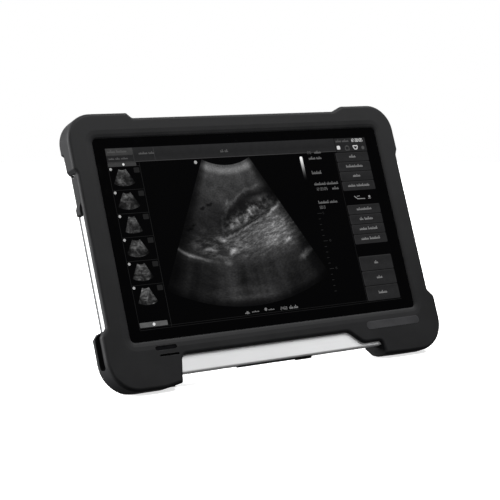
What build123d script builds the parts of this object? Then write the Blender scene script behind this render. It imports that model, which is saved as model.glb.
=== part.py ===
from build123d import *
import math
import os

# Rugged tablet ultrasound scanner, in millimetres.
# Everything is drawn in the screen frame: X right, Y up the screen, Z out of the screen, with the
# origin at the middle of the glass window and Z = 0 on the front face of the rubber bumper.
# The last lines lean all pieces back onto the kickstand and set the origin under the middle.

# ---------------------------------------------------------------- driving dimensions
LEAN = 21.5                      # how far the screen leans back from upright, degrees
WINDOW = (278.0, 162.0)          # glass seen inside the bumper

# rubber bumper
SIDE_X = 157.3                   # half-width between the corners
TOP_CORNER_X = 159.7             # half-width at the upper corners
FOOT_CORNER_X = 163.0            # half-width at the lower corners
TOP_Y = 97.5
CORNER_TOP_Y = 101.8
FOOT_Y = -118.3
BAND_Y = -94.8                   # lower edge of the bumper between its feet
TONGUE_Y = -105.7
SHEET_Z = -3.5                   # back of the bumper's front sheet
BUMPER_STRAIGHT_Z = -16.0        # the corners are upright to here, then slope
BUMPER_BACK_Z = -27.0
LIP_DEPTH = 1.5                  # from the bumper's face down to the glass
# the lip round the window gets steeper towards the glass: distance outside it, height
LIP_STEPS = [(0.0, -LIP_DEPTH), (1.4, -0.8), (3.6, -0.3), (7.0, 0.01)]
NOTCH_Y = 73.0                   # under this height the upper corners are less deep
NOTCH_Z = -12.3
FLOOR_CUT = 114.3                # from the origin straight down to the floor, along gravity

# silver main housing
BODY_X = 156.8
BODY_TOP = 97.0
BODY_BOTTOM = -108.7
BODY_R = 24.0
BODY_FRONT_Z = -3.0
BODY_BACK_Z = -10.5
WALL = 2.5
WEB_BACK_Z = -5.0                # back of the web that carries the glass
BAY = (268.0, 156.0)             # opening in the web for the display

# rear cover
BAND_BACK_Z = -12.5              # upright band before the 45 degree slope
BACK_Z = -32.0
INNER_BAND_Z = -11.5
INNER_BACK_Z = -29.5

# display stack
GLASS = (286.0, 170.0, 1.2)
GLASS_BACK_Z = -2.7
SENSOR_BACK_Z = -3.2
LCD = (264.0, 152.0)
LCD_BACK_Z = -5.2
FRAME_FRONT_Z = -7.2
FRAME_BACK_Z = -8.7
BOARD_FRONT_Z = -11.0
BOARD_BACK_Z = -12.6

# kickstand, a bent U of flat bar that folds flush into the back
HINGE_Y = 30.0
HINGE_Z = -29.5
BAR_T = 5.0
STAND_HALF = 70.0
BAR_W = 12.0
BEND_Y = -87.0
TIP_Y = -101.5
STAND_FOOT_R = 2.9               # rubber foot round the kickstand's tip
STAND_GAP = 0.6
PIN_R = 1.5
RUN_GAP = 0.06                   # running clearance on a hinge pin

# screws, posts and inserts
POSTS = [(-128, 66), (128, 66), (-128, -80), (128, -80), (0, 66), (0, -74)]
POST_R = 4.0
SCREW_R = 1.5
HEAD_R = 2.8
FRAME_SCREWS = [(x, y) for x in (-144, 144) for y in (-67, -20, 75)]
FRAME_SCREWS += [(x, y) for x in (-50, 50) for y in (-90, 86)]
VESA = 75.0
VESA_Y = -30.0
INSERT_R = 3.5
INSERT_HOLE_R = 2.0

# left port cover
FLAP_TOP = 54.0
FLAP_BOTTOM = 22.0
FLAP_T = 2.0
FLAP_SKIN = 0.7                  # thin part of the cover over its hinge's knuckles
FLAP_PIN = (-155.1, 52.3)
FLAP_BARREL_R = 1.7
KNUCKLE_R = 1.35
FLAP_PIN_R = 0.7

# transducer socket on the right
SOCKET_Y = -10.0
SOCKET = (25.0, 50.0, 16.0)
SOCKET_X = 126.0
SOCKET_TOP_Z = -12.6
MOUTH = (16.0, 43.0, 11.6)

# side buttons on the right: name, middle Y, length
BUTTONS = [("power_button", 46.0, 14.0), ("volume_up_button", 28.0, 10.0),
           ("volume_down_button", 15.0, 10.0)]
BUTTON_Z = -7.0
BUTTON_H = 4.6
JACK_Z = -7.8

# cooling
FAN_XY = (101.0, 17.0)
FAN_SIZE = 46.0
FAN_FRONT_Z = -19.6
FAN_BACK_Z = -28.8
PIPE_R = 2.2
PIPE_Z = -17.4

DOOR = (-136.0, -74.0, -78.0, 62.0)   # battery door: left, bottom, right, top
DOOR_T = 1.8

# the open leg's angle from its folded place, worked out so that its foot stands on the floor
lean = math.radians(LEAN)
hinge_height = HINGE_Y * math.cos(lean) + HINGE_Z * math.sin(lean) + FLOOR_CUT
leg_reach = math.hypot(HINGE_Y - TIP_Y, BEND_Y - TIP_Y)
leg_bend = math.atan2(BEND_Y - TIP_Y, HINGE_Y - TIP_Y)
STAND_OPEN = math.degrees(lean + leg_bend + math.acos((hinge_height - STAND_FOOT_R) / leg_reach))

pieces = {}


def level(z):
    """The drawing plane at height z in the screen frame."""
    return Plane.XY.offset(z)


def box_at(x0, y0, z0, x1, y1, z1, mode=Mode.ADD):
    """A box between two corners, added to the part being built."""
    middle = ((x0 + x1) / 2, (y0 + y1) / 2, (z0 + z1) / 2)
    with Locations(middle):
        Box(abs(x1 - x0), abs(y1 - y0), abs(z1 - z0), mode=mode)


def rod_at(x, y, z0, z1, radius, mode=Mode.ADD):
    """A round rod along Z between two heights."""
    with Locations((x, y, (z0 + z1) / 2)):
        Cylinder(radius, abs(z1 - z0), mode=mode)


def body_outline(inset):
    """The housing's rounded rectangle, drawn smaller by the inset."""
    height = BODY_TOP - BODY_BOTTOM - 2 * inset
    with Locations((0, (BODY_TOP + BODY_BOTTOM) / 2)):
        RectangleRounded(2 * (BODY_X - inset), height, BODY_R - inset)


def bumper_outline():
    """The front outline of the rubber bumper, as a filleted closed polyline."""
    corners = [
        ((-99.5, TOP_Y), 3.6), ((-104.0, CORNER_TOP_Y), 1.2),
        ((-TOP_CORNER_X, CORNER_TOP_Y), 23), ((-TOP_CORNER_X, 58.0), 1.5),
        ((-SIDE_X, 54.0), 3.6), ((-SIDE_X, -67.0), 3.6),
        ((-FOOT_CORNER_X, -73.0), 4), ((-FOOT_CORNER_X, FOOT_Y), 26),
        ((-116.0, FOOT_Y), 20), ((-100.8, -116.0), 1.2),
        ((-97.0, BAND_Y), 5), ((63.5, BAND_Y), 9),
        ((76.5, TONGUE_Y), 9), ((95.5, TONGUE_Y), 3.2),
        ((97.5, FOOT_Y + 0.6), 1.2), ((118.0, FOOT_Y), 20),
        ((FOOT_CORNER_X, FOOT_Y), 26), ((FOOT_CORNER_X, -73.0), 4),
        ((SIDE_X, -67.0), 3.6), ((SIDE_X, 55.5), 3.6),
        ((TOP_CORNER_X, 60.5), 1.5), ((TOP_CORNER_X, CORNER_TOP_Y), 23),
        ((108.5, CORNER_TOP_Y), 4), ((98.5, TOP_Y), 4),
    ]
    with BuildSketch() as outline:
        with BuildLine():
            FilletPolyline(*[c[0] for c in corners], radius=[c[1] for c in corners], close=True)
        make_face()
    return outline.sketch


def stand_profile(back, front, end):
    """The bent side profile of the kickstand in the YZ plane: how far it reaches behind and in
    front of its middle line, and how far it runs past each end."""
    run = BEND_Y - TIP_Y
    tip = (TIP_Y, HINGE_Z + run)
    mitre = math.sqrt(2) - 1
    top = HINGE_Y + end
    drop = end / math.sqrt(2)
    with BuildSketch() as profile:
        with BuildLine():
            Polyline(
                (top, HINGE_Z - back), (BEND_Y - back * mitre, HINGE_Z - back),
                (tip[0] - drop - back * math.sqrt(0.5), tip[1] + drop - back * math.sqrt(0.5)),
                (tip[0] - drop + front * math.sqrt(0.5), tip[1] + drop + front * math.sqrt(0.5)),
                (BEND_Y + front * mitre, HINGE_Z + front), (top, HINGE_Z + front), close=True)
        make_face()
    return profile.sketch


# ---------------------------------------------------------------- main housing
with BuildPart() as main_housing:
    with BuildSketch(level(BODY_BACK_Z)):
        body_outline(0)
    extrude(amount=BODY_FRONT_Z - BODY_BACK_Z)
    fillet(main_housing.faces().sort_by(Axis.Z)[-1].edges(), radius=1.6)
    with BuildSketch(level(BODY_BACK_Z)):
        body_outline(WALL)
    extrude(amount=WEB_BACK_Z - BODY_BACK_Z, mode=Mode.SUBTRACT)
    with BuildSketch(level(BODY_BACK_Z)):
        RectangleRounded(*BAY, 3)
    extrude(amount=BODY_FRONT_Z - BODY_BACK_Z + 1, mode=Mode.SUBTRACT)
    # bosses for the mid frame's screws
    with BuildSketch(level(FRAME_FRONT_Z)):
        with Locations(*FRAME_SCREWS):
            Circle(3.2)
    extrude(amount=WEB_BACK_Z - FRAME_FRONT_Z)
    with BuildSketch(level(FRAME_FRONT_Z)):
        with Locations(*FRAME_SCREWS):
            Circle(1.0)
    extrude(amount=WEB_BACK_Z - FRAME_FRONT_Z + 0.8, mode=Mode.SUBTRACT)
    # thick wall behind the port cover, with the recess that the cover lies in
    box_at(-BODY_X + 1, 14, BODY_BACK_Z, -150, 60, WEB_BACK_Z)
    box_at(-160, FLAP_BOTTOM - 0.4, BODY_BACK_Z - 1, -SIDE_X + FLAP_T + 0.3, FLAP_TOP + 1.2,
           SHEET_Z - 0.1, Mode.SUBTRACT)
    rod_at(*FLAP_PIN, SHEET_Z - 0.1, BODY_BACK_Z - 1, 2.4, Mode.SUBTRACT)
    for z0, z1 in ((-9.3, BODY_BACK_Z), (-4.8, SHEET_Z)):
        rod_at(*FLAP_PIN, z0, z1, KNUCKLE_R)
        box_at(FLAP_PIN[0], FLAP_PIN[1] - KNUCKLE_R, z0, -152, FLAP_PIN[1] + KNUCKLE_R, z1)
    rod_at(*FLAP_PIN, BODY_BACK_Z - 1, SHEET_Z - 0.3, FLAP_PIN_R, Mode.SUBTRACT)
    # mouths for the sockets under the cover
    for y in (41.0, 30.5):
        box_at(-160, y - 4.6, -9.1, -140, y + 4.6, -5.5, Mode.SUBTRACT)
    # openings for the side buttons and the power jack on the right
    for _, y, length in BUTTONS:
        box_at(150, y - length / 2 - 0.3, BUTTON_Z - BUTTON_H / 2 - 0.3, 160,
               y + length / 2 + 0.3, BUTTON_Z + BUTTON_H / 2 + 0.3, Mode.SUBTRACT)
    with Locations(Location((155, -52, JACK_Z), (0, 90, 0))):
        Cylinder(2.6, 12, mode=Mode.SUBTRACT)
    # slots for the side speakers
    for side in (-1, 1):
        with BuildSketch(Plane.YZ.offset(side * 148)):
            with Locations((-84, -7.5)):
                with GridLocations(0, 1.25, 1, 4):
                    Rectangle(22, 0.7)
        extrude(amount=side * 12, mode=Mode.SUBTRACT)
    # opening for the docking connector under the chin
    box_at(-45, BODY_BOTTOM - 2, BODY_BACK_Z - 1, 27, BODY_BOTTOM + 4, -6.4, Mode.SUBTRACT)
    # light holes for the status lights and the sound hole of the microphone
    with BuildSketch(level(WEB_BACK_Z - 1)):
        with Locations((-116.5, -87.5), (-110.5, -87.5), (-104.5, -87.5), (-108.5, -93.3)):
            Circle(0.9)
    extrude(amount=4, mode=Mode.SUBTRACT)
pieces["main_housing"] = main_housing.part

# ---------------------------------------------------------------- rear cover
with BuildPart() as cover_block:
    with BuildSketch(level(BODY_BACK_Z)):
        body_outline(0)
    extrude(amount=BAND_BACK_Z - BODY_BACK_Z)
    with BuildSketch(level(BAND_BACK_Z)):
        body_outline(0)
    extrude(amount=BACK_Z - BAND_BACK_Z, taper=45)

# the thick channel inside the cover for the folded kickstand, and the groove cut into it
with BuildPart() as channel:
    with BuildSketch(Plane.YZ):
        add(stand_profile(2.5, 6.0, 6.0))
    extrude(amount=STAND_HALF + 6, both=True)
    box_at(-STAND_HALF + BAR_W + 5, BEND_Y + 11, -60, STAND_HALF - BAR_W - 5, 60, 0, Mode.SUBTRACT)
    add(cover_block.part, mode=Mode.INTERSECT)

with BuildPart() as groove:
    with BuildSketch(Plane.YZ):
        add(stand_profile(6.0, BAR_T / 2 + STAND_GAP, BAR_T / 2 + STAND_GAP))
    extrude(amount=STAND_HALF + STAND_GAP, both=True)
    box_at(-STAND_HALF + BAR_W + STAND_GAP, BEND_Y + 5.5, -60, STAND_HALF - BAR_W - STAND_GAP,
           60, 0, Mode.SUBTRACT)

with BuildPart() as rear_cover:
    add(cover_block.part)
    with BuildSketch(level(BODY_BACK_Z)):
        body_outline(WALL)
    extrude(amount=INNER_BAND_Z - BODY_BACK_Z, mode=Mode.SUBTRACT)
    with BuildSketch(level(INNER_BAND_Z)):
        body_outline(WALL)
    extrude(amount=INNER_BACK_Z - INNER_BAND_Z, taper=45, mode=Mode.SUBTRACT)
    add(channel.part)
    add(groove.part, mode=Mode.SUBTRACT)
    # screw posts and insert bosses
    for x, y in POSTS:
        rod_at(x, y, FRAME_BACK_Z, BACK_Z + 1, POST_R)
    for x in (-VESA / 2, VESA / 2):
        for y in (VESA_Y - VESA / 2, VESA_Y + VESA / 2):
            rod_at(x, y, -21, BACK_Z + 1, INSERT_R + 2)
            rod_at(x, y, -22.5, BACK_Z - 1, INSERT_R, Mode.SUBTRACT)
    for x, y in POSTS:
        rod_at(x, y, 0, BACK_Z - 1, SCREW_R + 0.1, Mode.SUBTRACT)
        rod_at(x, y, BACK_Z + 2.4, BACK_Z - 1, HEAD_R + 0.3, Mode.SUBTRACT)
    # battery door seat and the hatch under it
    box_at(DOOR[0], DOOR[1], BACK_Z - 1, DOOR[2], DOOR[3], BACK_Z + DOOR_T + 0.1, Mode.SUBTRACT)
    box_at(DOOR[0] + 6, DOOR[1] + 6, BACK_Z - 1, DOOR[2] - 6, DOOR[3] - 6, -27, Mode.SUBTRACT)
    for x in (DOOR[0] + 3.5, DOOR[2] - 3.5):
        for y in (DOOR[1] + 3.5, DOOR[3] - 3.5):
            rod_at(x, y, -28.4, BACK_Z, 1.0, Mode.SUBTRACT)
    # intake vents behind the blower and outlet vents behind the fins
    with BuildSketch(level(BACK_Z - 1)):
        for rise in range(-14, 15, 4):
            with Locations((FAN_XY[0], FAN_XY[1] + rise)):
                SlotOverall(2 * math.sqrt(18.0 ** 2 - rise ** 2), 2.0)
        with Locations((FAN_XY[0], 53)):
            with GridLocations(3.5, 0, 12, 1):
                SlotOverall(16, 1.8, rotation=90)
    extrude(amount=5, mode=Mode.SUBTRACT)
    # window for the transducer socket and the recess of its release slider
    box_at(SOCKET_X - 4, SOCKET_Y - SOCKET[1] / 2, SOCKET_TOP_Z, 170, SOCKET_Y + SOCKET[1] / 2,
           SOCKET_TOP_Z - SOCKET[2] - 0.3, Mode.SUBTRACT)
    box_at(98, -46, BACK_Z - 1, 118, -34, BACK_Z + 1.2, Mode.SUBTRACT)
    box_at(103, -42, BACK_Z - 1, 113, -38, INNER_BACK_Z + 1, Mode.SUBTRACT)
    # slot for the docking connector and seats for the rear pads
    box_at(-45.2, BODY_BOTTOM - 2, BODY_BACK_Z + 1, 27.2, BODY_BOTTOM + 4, BODY_BACK_Z - 1,
           Mode.SUBTRACT)
    for x, y in [(-107, 70), (107, 70), (-107, -82), (107, -82)]:
        rod_at(x, y, BACK_Z + 0.8, BACK_Z - 1, 5.0, Mode.SUBTRACT)
    # holes for the kickstand's hinge pins
    for side in (-1, 1):
        with Locations(Location((side * (STAND_HALF - BAR_W / 2), HINGE_Y, HINGE_Z), (0, 90, 0))):
            Cylinder(PIN_R, BAR_W + 8, mode=Mode.SUBTRACT)
pieces["rear_cover"] = rear_cover.part

# ---------------------------------------------------------------- rubber bumper
with BuildPart() as bumper_sheet:
    with BuildSketch(level(SHEET_Z)):
        add(bumper_outline())
    extrude(amount=-SHEET_Z)
    fillet(bumper_sheet.faces().sort_by(Axis.Z)[-1].edges(), radius=2.8)

with BuildPart() as bumper_corners:
    with BuildSketch(level(SHEET_Z + 0.2)):
        add(bumper_outline())
    extrude(amount=BUMPER_STRAIGHT_Z - SHEET_Z - 0.2)
    box_at(-200, -69, -60, 200, 55, 0, Mode.SUBTRACT)
    box_at(-96.5, -200, -60, 96.5, 200, 0, Mode.SUBTRACT)

# behind the upright part each corner slopes inwards with the rear cover
with BuildPart() as foot_slopes:
    with BuildSketch(level(BUMPER_STRAIGHT_Z)):
        with Locations((0, FOOT_Y + 90)):
            RectangleRounded(2 * FOOT_CORNER_X, 180, 26)
    extrude(amount=BUMPER_BACK_Z - BUMPER_STRAIGHT_Z, taper=42)
    box_at(-200, -73.5, -60, 200, 200, 0, Mode.SUBTRACT)
    box_at(-100, -200, -60, 97, 200, 0, Mode.SUBTRACT)

with BuildPart() as top_slopes:
    with BuildSketch(level(BUMPER_STRAIGHT_Z)):
        with Locations((0, CORNER_TOP_Y - 90)):
            RectangleRounded(2 * TOP_CORNER_X, 180, 23)
    extrude(amount=BUMPER_BACK_Z - BUMPER_STRAIGHT_Z, taper=42)
    box_at(-200, -200, -60, 200, 59, 0, Mode.SUBTRACT)
    box_at(-103, -200, -60, 104, 200, 0, Mode.SUBTRACT)

with BuildPart() as rubber_bumper:
    add(bumper_corners.part)
    add(foot_slopes.part)
    add(top_slopes.part)
    for side in (-1, 1):
        box_at(side * 200, 50, NOTCH_Z, side * 120, NOTCH_Y, -60, Mode.SUBTRACT)
    add(bumper_sheet.part)
    add(cover_block.part, mode=Mode.SUBTRACT)
    with BuildSketch(level(BODY_BACK_Z)):
        body_outline(0)
    extrude(amount=BODY_FRONT_Z - BODY_BACK_Z, mode=Mode.SUBTRACT)
    # pocket for the glass, and the window with its sloping lip
    box_at(-GLASS[0] / 2 - 0.3, -GLASS[1] / 2 - 0.3, -10, GLASS[0] / 2 + 0.3, GLASS[1] / 2 + 0.3,
           -LIP_DEPTH, Mode.SUBTRACT)
    for lower, upper in zip(LIP_STEPS, LIP_STEPS[1:]):
        for out, z in (lower, upper):
            with BuildSketch(level(z)):
                RectangleRounded(WINDOW[0] + 2 * out, WINDOW[1] + 2 * out, 4 + out)
        loft(mode=Mode.SUBTRACT)
    # status light window and microphone slot
    with BuildSketch(level(-4)):
        with Locations((-110.5, -87.5)):
            SlotOverall(19, 3.2)
        with Locations((-108.5, -93.3)):
            SlotOverall(17, 1.5)
    extrude(amount=5, mode=Mode.SUBTRACT)
    # speaker slots in the sides of the lower corners
    for side in (-1, 1):
        with BuildSketch(Plane.YZ.offset(side * 155)):
            with Locations((-84, -8.2)):
                RectangleRounded(28, 8.4, 2.5)
        extrude(amount=side * 12, mode=Mode.SUBTRACT)
    # flat soles that stand on the floor
    sole = Plane(origin=(0, 0, 0), x_dir=(1, 0, 0),
                 z_dir=(0, math.cos(math.radians(LEAN)), math.sin(math.radians(LEAN))))
    with BuildSketch(sole.offset(-FLOOR_CUT)):
        Rectangle(400, 200)
    extrude(amount=-30, mode=Mode.SUBTRACT)
pieces["rubber_bumper"] = rubber_bumper.part

# ---------------------------------------------------------------- display stack
with BuildPart() as glass_gasket:
    with BuildSketch(level(GLASS_BACK_Z)):
        RectangleRounded(GLASS[0] - 1, GLASS[1] - 1, 4)
        RectangleRounded(BAY[0] + 4, BAY[1] + 4, 3, mode=Mode.SUBTRACT)
    extrude(amount=BODY_FRONT_Z - GLASS_BACK_Z)
pieces["glass_gasket"] = glass_gasket.part

with BuildPart() as cover_glass:
    with BuildSketch(level(GLASS_BACK_Z)):
        RectangleRounded(GLASS[0], GLASS[1], 4.5)
    extrude(amount=GLASS[2])
pieces["cover_glass"] = cover_glass.part

with BuildPart() as touch_sensor:
    with BuildSketch(level(SENSOR_BACK_Z)):
        RectangleRounded(LCD[0] + 2, LCD[1] + 2, 2)
    extrude(amount=GLASS_BACK_Z - SENSOR_BACK_Z)
pieces["touch_sensor"] = touch_sensor.part

with BuildPart() as lcd_panel:
    with BuildSketch(level(LCD_BACK_Z)):
        Rectangle(*LCD)
    extrude(amount=SENSOR_BACK_Z - LCD_BACK_Z)
pieces["lcd_panel"] = lcd_panel.part

with BuildPart() as backlight_unit:
    with BuildSketch(level(FRAME_FRONT_Z)):
        RectangleRounded(LCD[0], LCD[1], 1)
    extrude(amount=LCD_BACK_Z - FRAME_FRONT_Z)
pieces["backlight_unit"] = backlight_unit.part

# ---------------------------------------------------------------- mid frame and its screws
with BuildPart() as mid_frame:
    with BuildSketch(level(FRAME_BACK_Z)):
        body_outline(WALL + 1.3)
        with Locations((-150, 36.5)):
            Rectangle(20, 50, mode=Mode.SUBTRACT)
        with Locations((153, 30)):
            Rectangle(12, 54, mode=Mode.SUBTRACT)
        with Locations((153, -52)):
            Rectangle(18, 14, mode=Mode.SUBTRACT)
        with Locations((-9, BODY_BOTTOM + 5)):
            Rectangle(80, 14, mode=Mode.SUBTRACT)
        for side in (-1, 1):
            with Locations((side * 146, -84)):
                Rectangle(22, 28, mode=Mode.SUBTRACT)
        with Locations(*FRAME_SCREWS, *POSTS):
            Circle(SCREW_R - 0.4, mode=Mode.SUBTRACT)
    extrude(amount=FRAME_FRONT_Z - FRAME_BACK_Z)
pieces["mid_frame"] = mid_frame.part

with BuildPart() as mid_frame_screws:
    for x, y in FRAME_SCREWS:
        rod_at(x, y, WEB_BACK_Z - 0.2, FRAME_BACK_Z, 1.0)
        rod_at(x, y, FRAME_BACK_Z, FRAME_BACK_Z - 1.3, 2.0)
pieces["mid_frame_screws"] = mid_frame_screws.part

with BuildPart() as rear_cover_screws:
    for x, y in POSTS:
        rod_at(x, y, FRAME_FRONT_Z - 0.2, BACK_Z + 2.4, SCREW_R - 0.4)
        rod_at(x, y, BACK_Z + 2.4, BACK_Z + 0.5, HEAD_R)
        with Locations((x, y, BACK_Z + 0.8)):
            Cylinder(1.0, 1.2, mode=Mode.SUBTRACT)
pieces["rear_cover_screws"] = rear_cover_screws.part

with BuildPart() as vesa_inserts:
    for x in (-VESA / 2, VESA / 2):
        for y in (VESA_Y - VESA / 2, VESA_Y + VESA / 2):
            rod_at(x, y, -22.6, BACK_Z, INSERT_R)
            rod_at(x, y, -23.4, BACK_Z - 1, INSERT_HOLE_R, Mode.SUBTRACT)
pieces["vesa_inserts"] = vesa_inserts.part

# ---------------------------------------------------------------- boards
MAIN_BOARD = (-68.0, -68.0, 74.0, 28.0)      # left, bottom, right, top
BEAM_BOARD = (78.0, -72.0, 122.0, -10.0)

with BuildPart() as board_standoffs:
    for left, bottom, right, top in (MAIN_BOARD, BEAM_BOARD):
        for x in (left + 5, right - 5):
            for y in (bottom + 5, top - 5):
                rod_at(x, y, FRAME_BACK_Z, BOARD_FRONT_Z, 2.6)
pieces["board_standoffs"] = board_standoffs.part

with BuildPart() as main_board:
    box_at(MAIN_BOARD[0], MAIN_BOARD[1], BOARD_FRONT_Z, MAIN_BOARD[2], MAIN_BOARD[3], BOARD_BACK_Z)
    box_at(4, -6, BOARD_BACK_Z, 34, 24, -14.0)
    for k in range(4):
        box_at(-30 + 8 * k, -40, BOARD_BACK_Z, -24 + 8 * k, -28, -13.8)
    box_at(-60, -60, BOARD_BACK_Z, -34, -50, -15.6)
    box_at(44, -30, BOARD_BACK_Z, 62, -12, -14.2)
    for k in range(3):
        rod_at(-58, -30 + 12 * k, BOARD_BACK_Z, -18.0, 3.6)
pieces["main_board"] = main_board.part

with BuildPart() as beamformer_board:
    box_at(BEAM_BOARD[0], BEAM_BOARD[1], BOARD_FRONT_Z, BEAM_BOARD[2], BEAM_BOARD[3], BOARD_BACK_Z)
    for col in range(2):
        for row in range(3):
            box_at(84 + 17 * col, -66 + 17 * row, BOARD_BACK_Z, 96 + 17 * col, -54 + 17 * row, -14.4)
    box_at(112, -22, BOARD_BACK_Z, 120, -14, -16.0)
pieces["beamformer_board"] = beamformer_board.part

with BuildPart() as antenna:
    box_at(-118, 84, -9.8, -66, 89, -8.7)
    box_at(-96, 80, -9.8, -92, 84, -8.7)
pieces["antenna"] = antenna.part

# ---------------------------------------------------------------- cooling
with BuildPart() as heat_spreader:
    box_at(0, -10, -14.0, 40, 28, -15.2)
pieces["heat_spreader"] = heat_spreader.part

with BuildPart() as heat_pipe:
    with BuildLine(Plane.XY.offset(PIPE_Z)) as pipe_path:
        FilletPolyline((6, 9), (34, 9), (70, 53), (122, 53), radius=12)
    with BuildSketch(Plane(origin=pipe_path.line @ 0, z_dir=pipe_path.line % 0)):
        Circle(PIPE_R)
    sweep()
pieces["heat_pipe"] = heat_pipe.part

with BuildPart() as fin_stack:
    for k in range(14):
        x = FAN_XY[0] - 21 + 3.2 * k
        box_at(x - 0.35, 43, PIPE_Z - PIPE_R, x + 0.35, 62, -27.8)
    box_at(FAN_XY[0] - 21.35, 43, -27.8, FAN_XY[0] + 20.95, 62, -28.6)
pieces["fin_stack"] = fin_stack.part

with BuildPart() as blower_housing:
    with BuildSketch(level(FAN_BACK_Z)):
        with Locations(FAN_XY):
            RectangleRounded(FAN_SIZE, FAN_SIZE, 5)
    extrude(amount=FAN_FRONT_Z - FAN_BACK_Z)
    rod_at(*FAN_XY, FAN_FRONT_Z - 1.2, FAN_BACK_Z + 1, 20.5, Mode.SUBTRACT)
    box_at(FAN_XY[0] - 14, FAN_XY[1], FAN_FRONT_Z - 1.2, FAN_XY[0] + 14, FAN_XY[1] + 30,
           FAN_BACK_Z + 1, Mode.SUBTRACT)
    rod_at(*FAN_XY, FAN_BACK_Z + 2, FAN_BACK_Z - 1, 14.0, Mode.SUBTRACT)
    rod_at(*FAN_XY, FAN_FRONT_Z + 1, FAN_FRONT_Z - 2, 1.0, Mode.SUBTRACT)
pieces["blower_housing"] = blower_housing.part

with BuildPart() as blower_axle:
    rod_at(*FAN_XY, FAN_FRONT_Z, FAN_BACK_Z + 2.2, 1.0)
pieces["blower_axle"] = blower_axle.part

with BuildPart() as blower_rotor:
    rod_at(*FAN_XY, FAN_FRONT_Z - 1.8, FAN_BACK_Z + 1.6, 8.0)
    with Locations((*FAN_XY, (FAN_FRONT_Z + FAN_BACK_Z) / 2)):
        with PolarLocations(12.4, 11):
            Box(11.5, 0.9, 4.6, rotation=(0, 0, 28))
    rod_at(*FAN_XY, FAN_FRONT_Z, FAN_BACK_Z, 1.0 + RUN_GAP, Mode.SUBTRACT)
pieces["blower_rotor"] = blower_rotor.part

# ---------------------------------------------------------------- battery
with BuildPart() as battery_pack:
    with BuildSketch(level(-26.6)):
        with Locations(((DOOR[0] + DOOR[2]) / 2, (DOOR[1] + DOOR[3]) / 2)):
            RectangleRounded(45, 123, 3)
    extrude(amount=17.4)
    fillet(battery_pack.edges().filter_by(Axis.Z, reverse=True), radius=1.2)
pieces["battery_pack"] = battery_pack.part

with BuildPart() as battery_door:
    with BuildSketch(level(BACK_Z)):
        with Locations(((DOOR[0] + DOOR[2]) / 2, (DOOR[1] + DOOR[3]) / 2)):
            Rectangle(DOOR[2] - DOOR[0] - 0.6, DOOR[3] - DOOR[1] - 0.6)
    extrude(amount=DOOR_T)
    for x in (DOOR[0] + 3.5, DOOR[2] - 3.5):
        for y in (DOOR[1] + 3.5, DOOR[3] - 3.5):
            rod_at(x, y, -28, BACK_Z - 1, 1.1, Mode.SUBTRACT)
            rod_at(x, y, BACK_Z + 1.0, BACK_Z - 1, 2.3, Mode.SUBTRACT)
    # finger ribs at the foot of the door
    for k in range(5):
        box_at(-118, -62 + 3 * k, BACK_Z - 0.5, -96, -60.8 + 3 * k, BACK_Z)
pieces["battery_door"] = battery_door.part

with BuildPart() as battery_door_screws:
    for x in (DOOR[0] + 3.5, DOOR[2] - 3.5):
        for y in (DOOR[1] + 3.5, DOOR[3] - 3.5):
            rod_at(x, y, -28.6, BACK_Z + 1.0, 1.0)
            rod_at(x, y, BACK_Z + 1.0, BACK_Z + 0.1, 2.1)
pieces["battery_door_screws"] = battery_door_screws.part

# ---------------------------------------------------------------- kickstand
HINGE_AXIS = Axis((0, HINGE_Y, HINGE_Z), (1, 0, 0))

with BuildPart() as kickstand:
    with BuildSketch(Plane.YZ):
        add(stand_profile(BAR_T / 2, BAR_T / 2, 0))
    extrude(amount=STAND_HALF, both=True)
    box_at(-STAND_HALF + BAR_W, BEND_Y + 5, -60, STAND_HALF - BAR_W, 60, 0, Mode.SUBTRACT)
    for side in (-1, 1):
        middle = (side * (STAND_HALF - BAR_W / 2), HINGE_Y, HINGE_Z)
        with Locations(Location(middle, (0, 90, 0))):
            Cylinder(BAR_T / 2, BAR_W)
            Cylinder(PIN_R + RUN_GAP, BAR_W + 8, mode=Mode.SUBTRACT)
pieces["kickstand"] = kickstand.part.rotate(HINGE_AXIS, STAND_OPEN)

with BuildPart() as kickstand_foot:
    with BuildSketch(Plane.YZ):
        with Locations((TIP_Y, HINGE_Z + BEND_Y - TIP_Y)):
            Circle(STAND_FOOT_R)
    extrude(amount=STAND_HALF - 8, both=True)
    with BuildSketch(Plane.YZ):
        add(stand_profile(BAR_T / 2, BAR_T / 2, 0))
    extrude(amount=STAND_HALF, both=True, mode=Mode.SUBTRACT)
pieces["kickstand_foot"] = kickstand_foot.part.rotate(HINGE_AXIS, STAND_OPEN)

with BuildPart() as kickstand_hinge_pins:
    for side in (-1, 1):
        with Locations(Location((side * (STAND_HALF - BAR_W / 2), HINGE_Y, HINGE_Z), (0, 90, 0))):
            Cylinder(PIN_R, BAR_W + 8)
pieces["kickstand_hinge_pins"] = kickstand_hinge_pins.part

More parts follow.
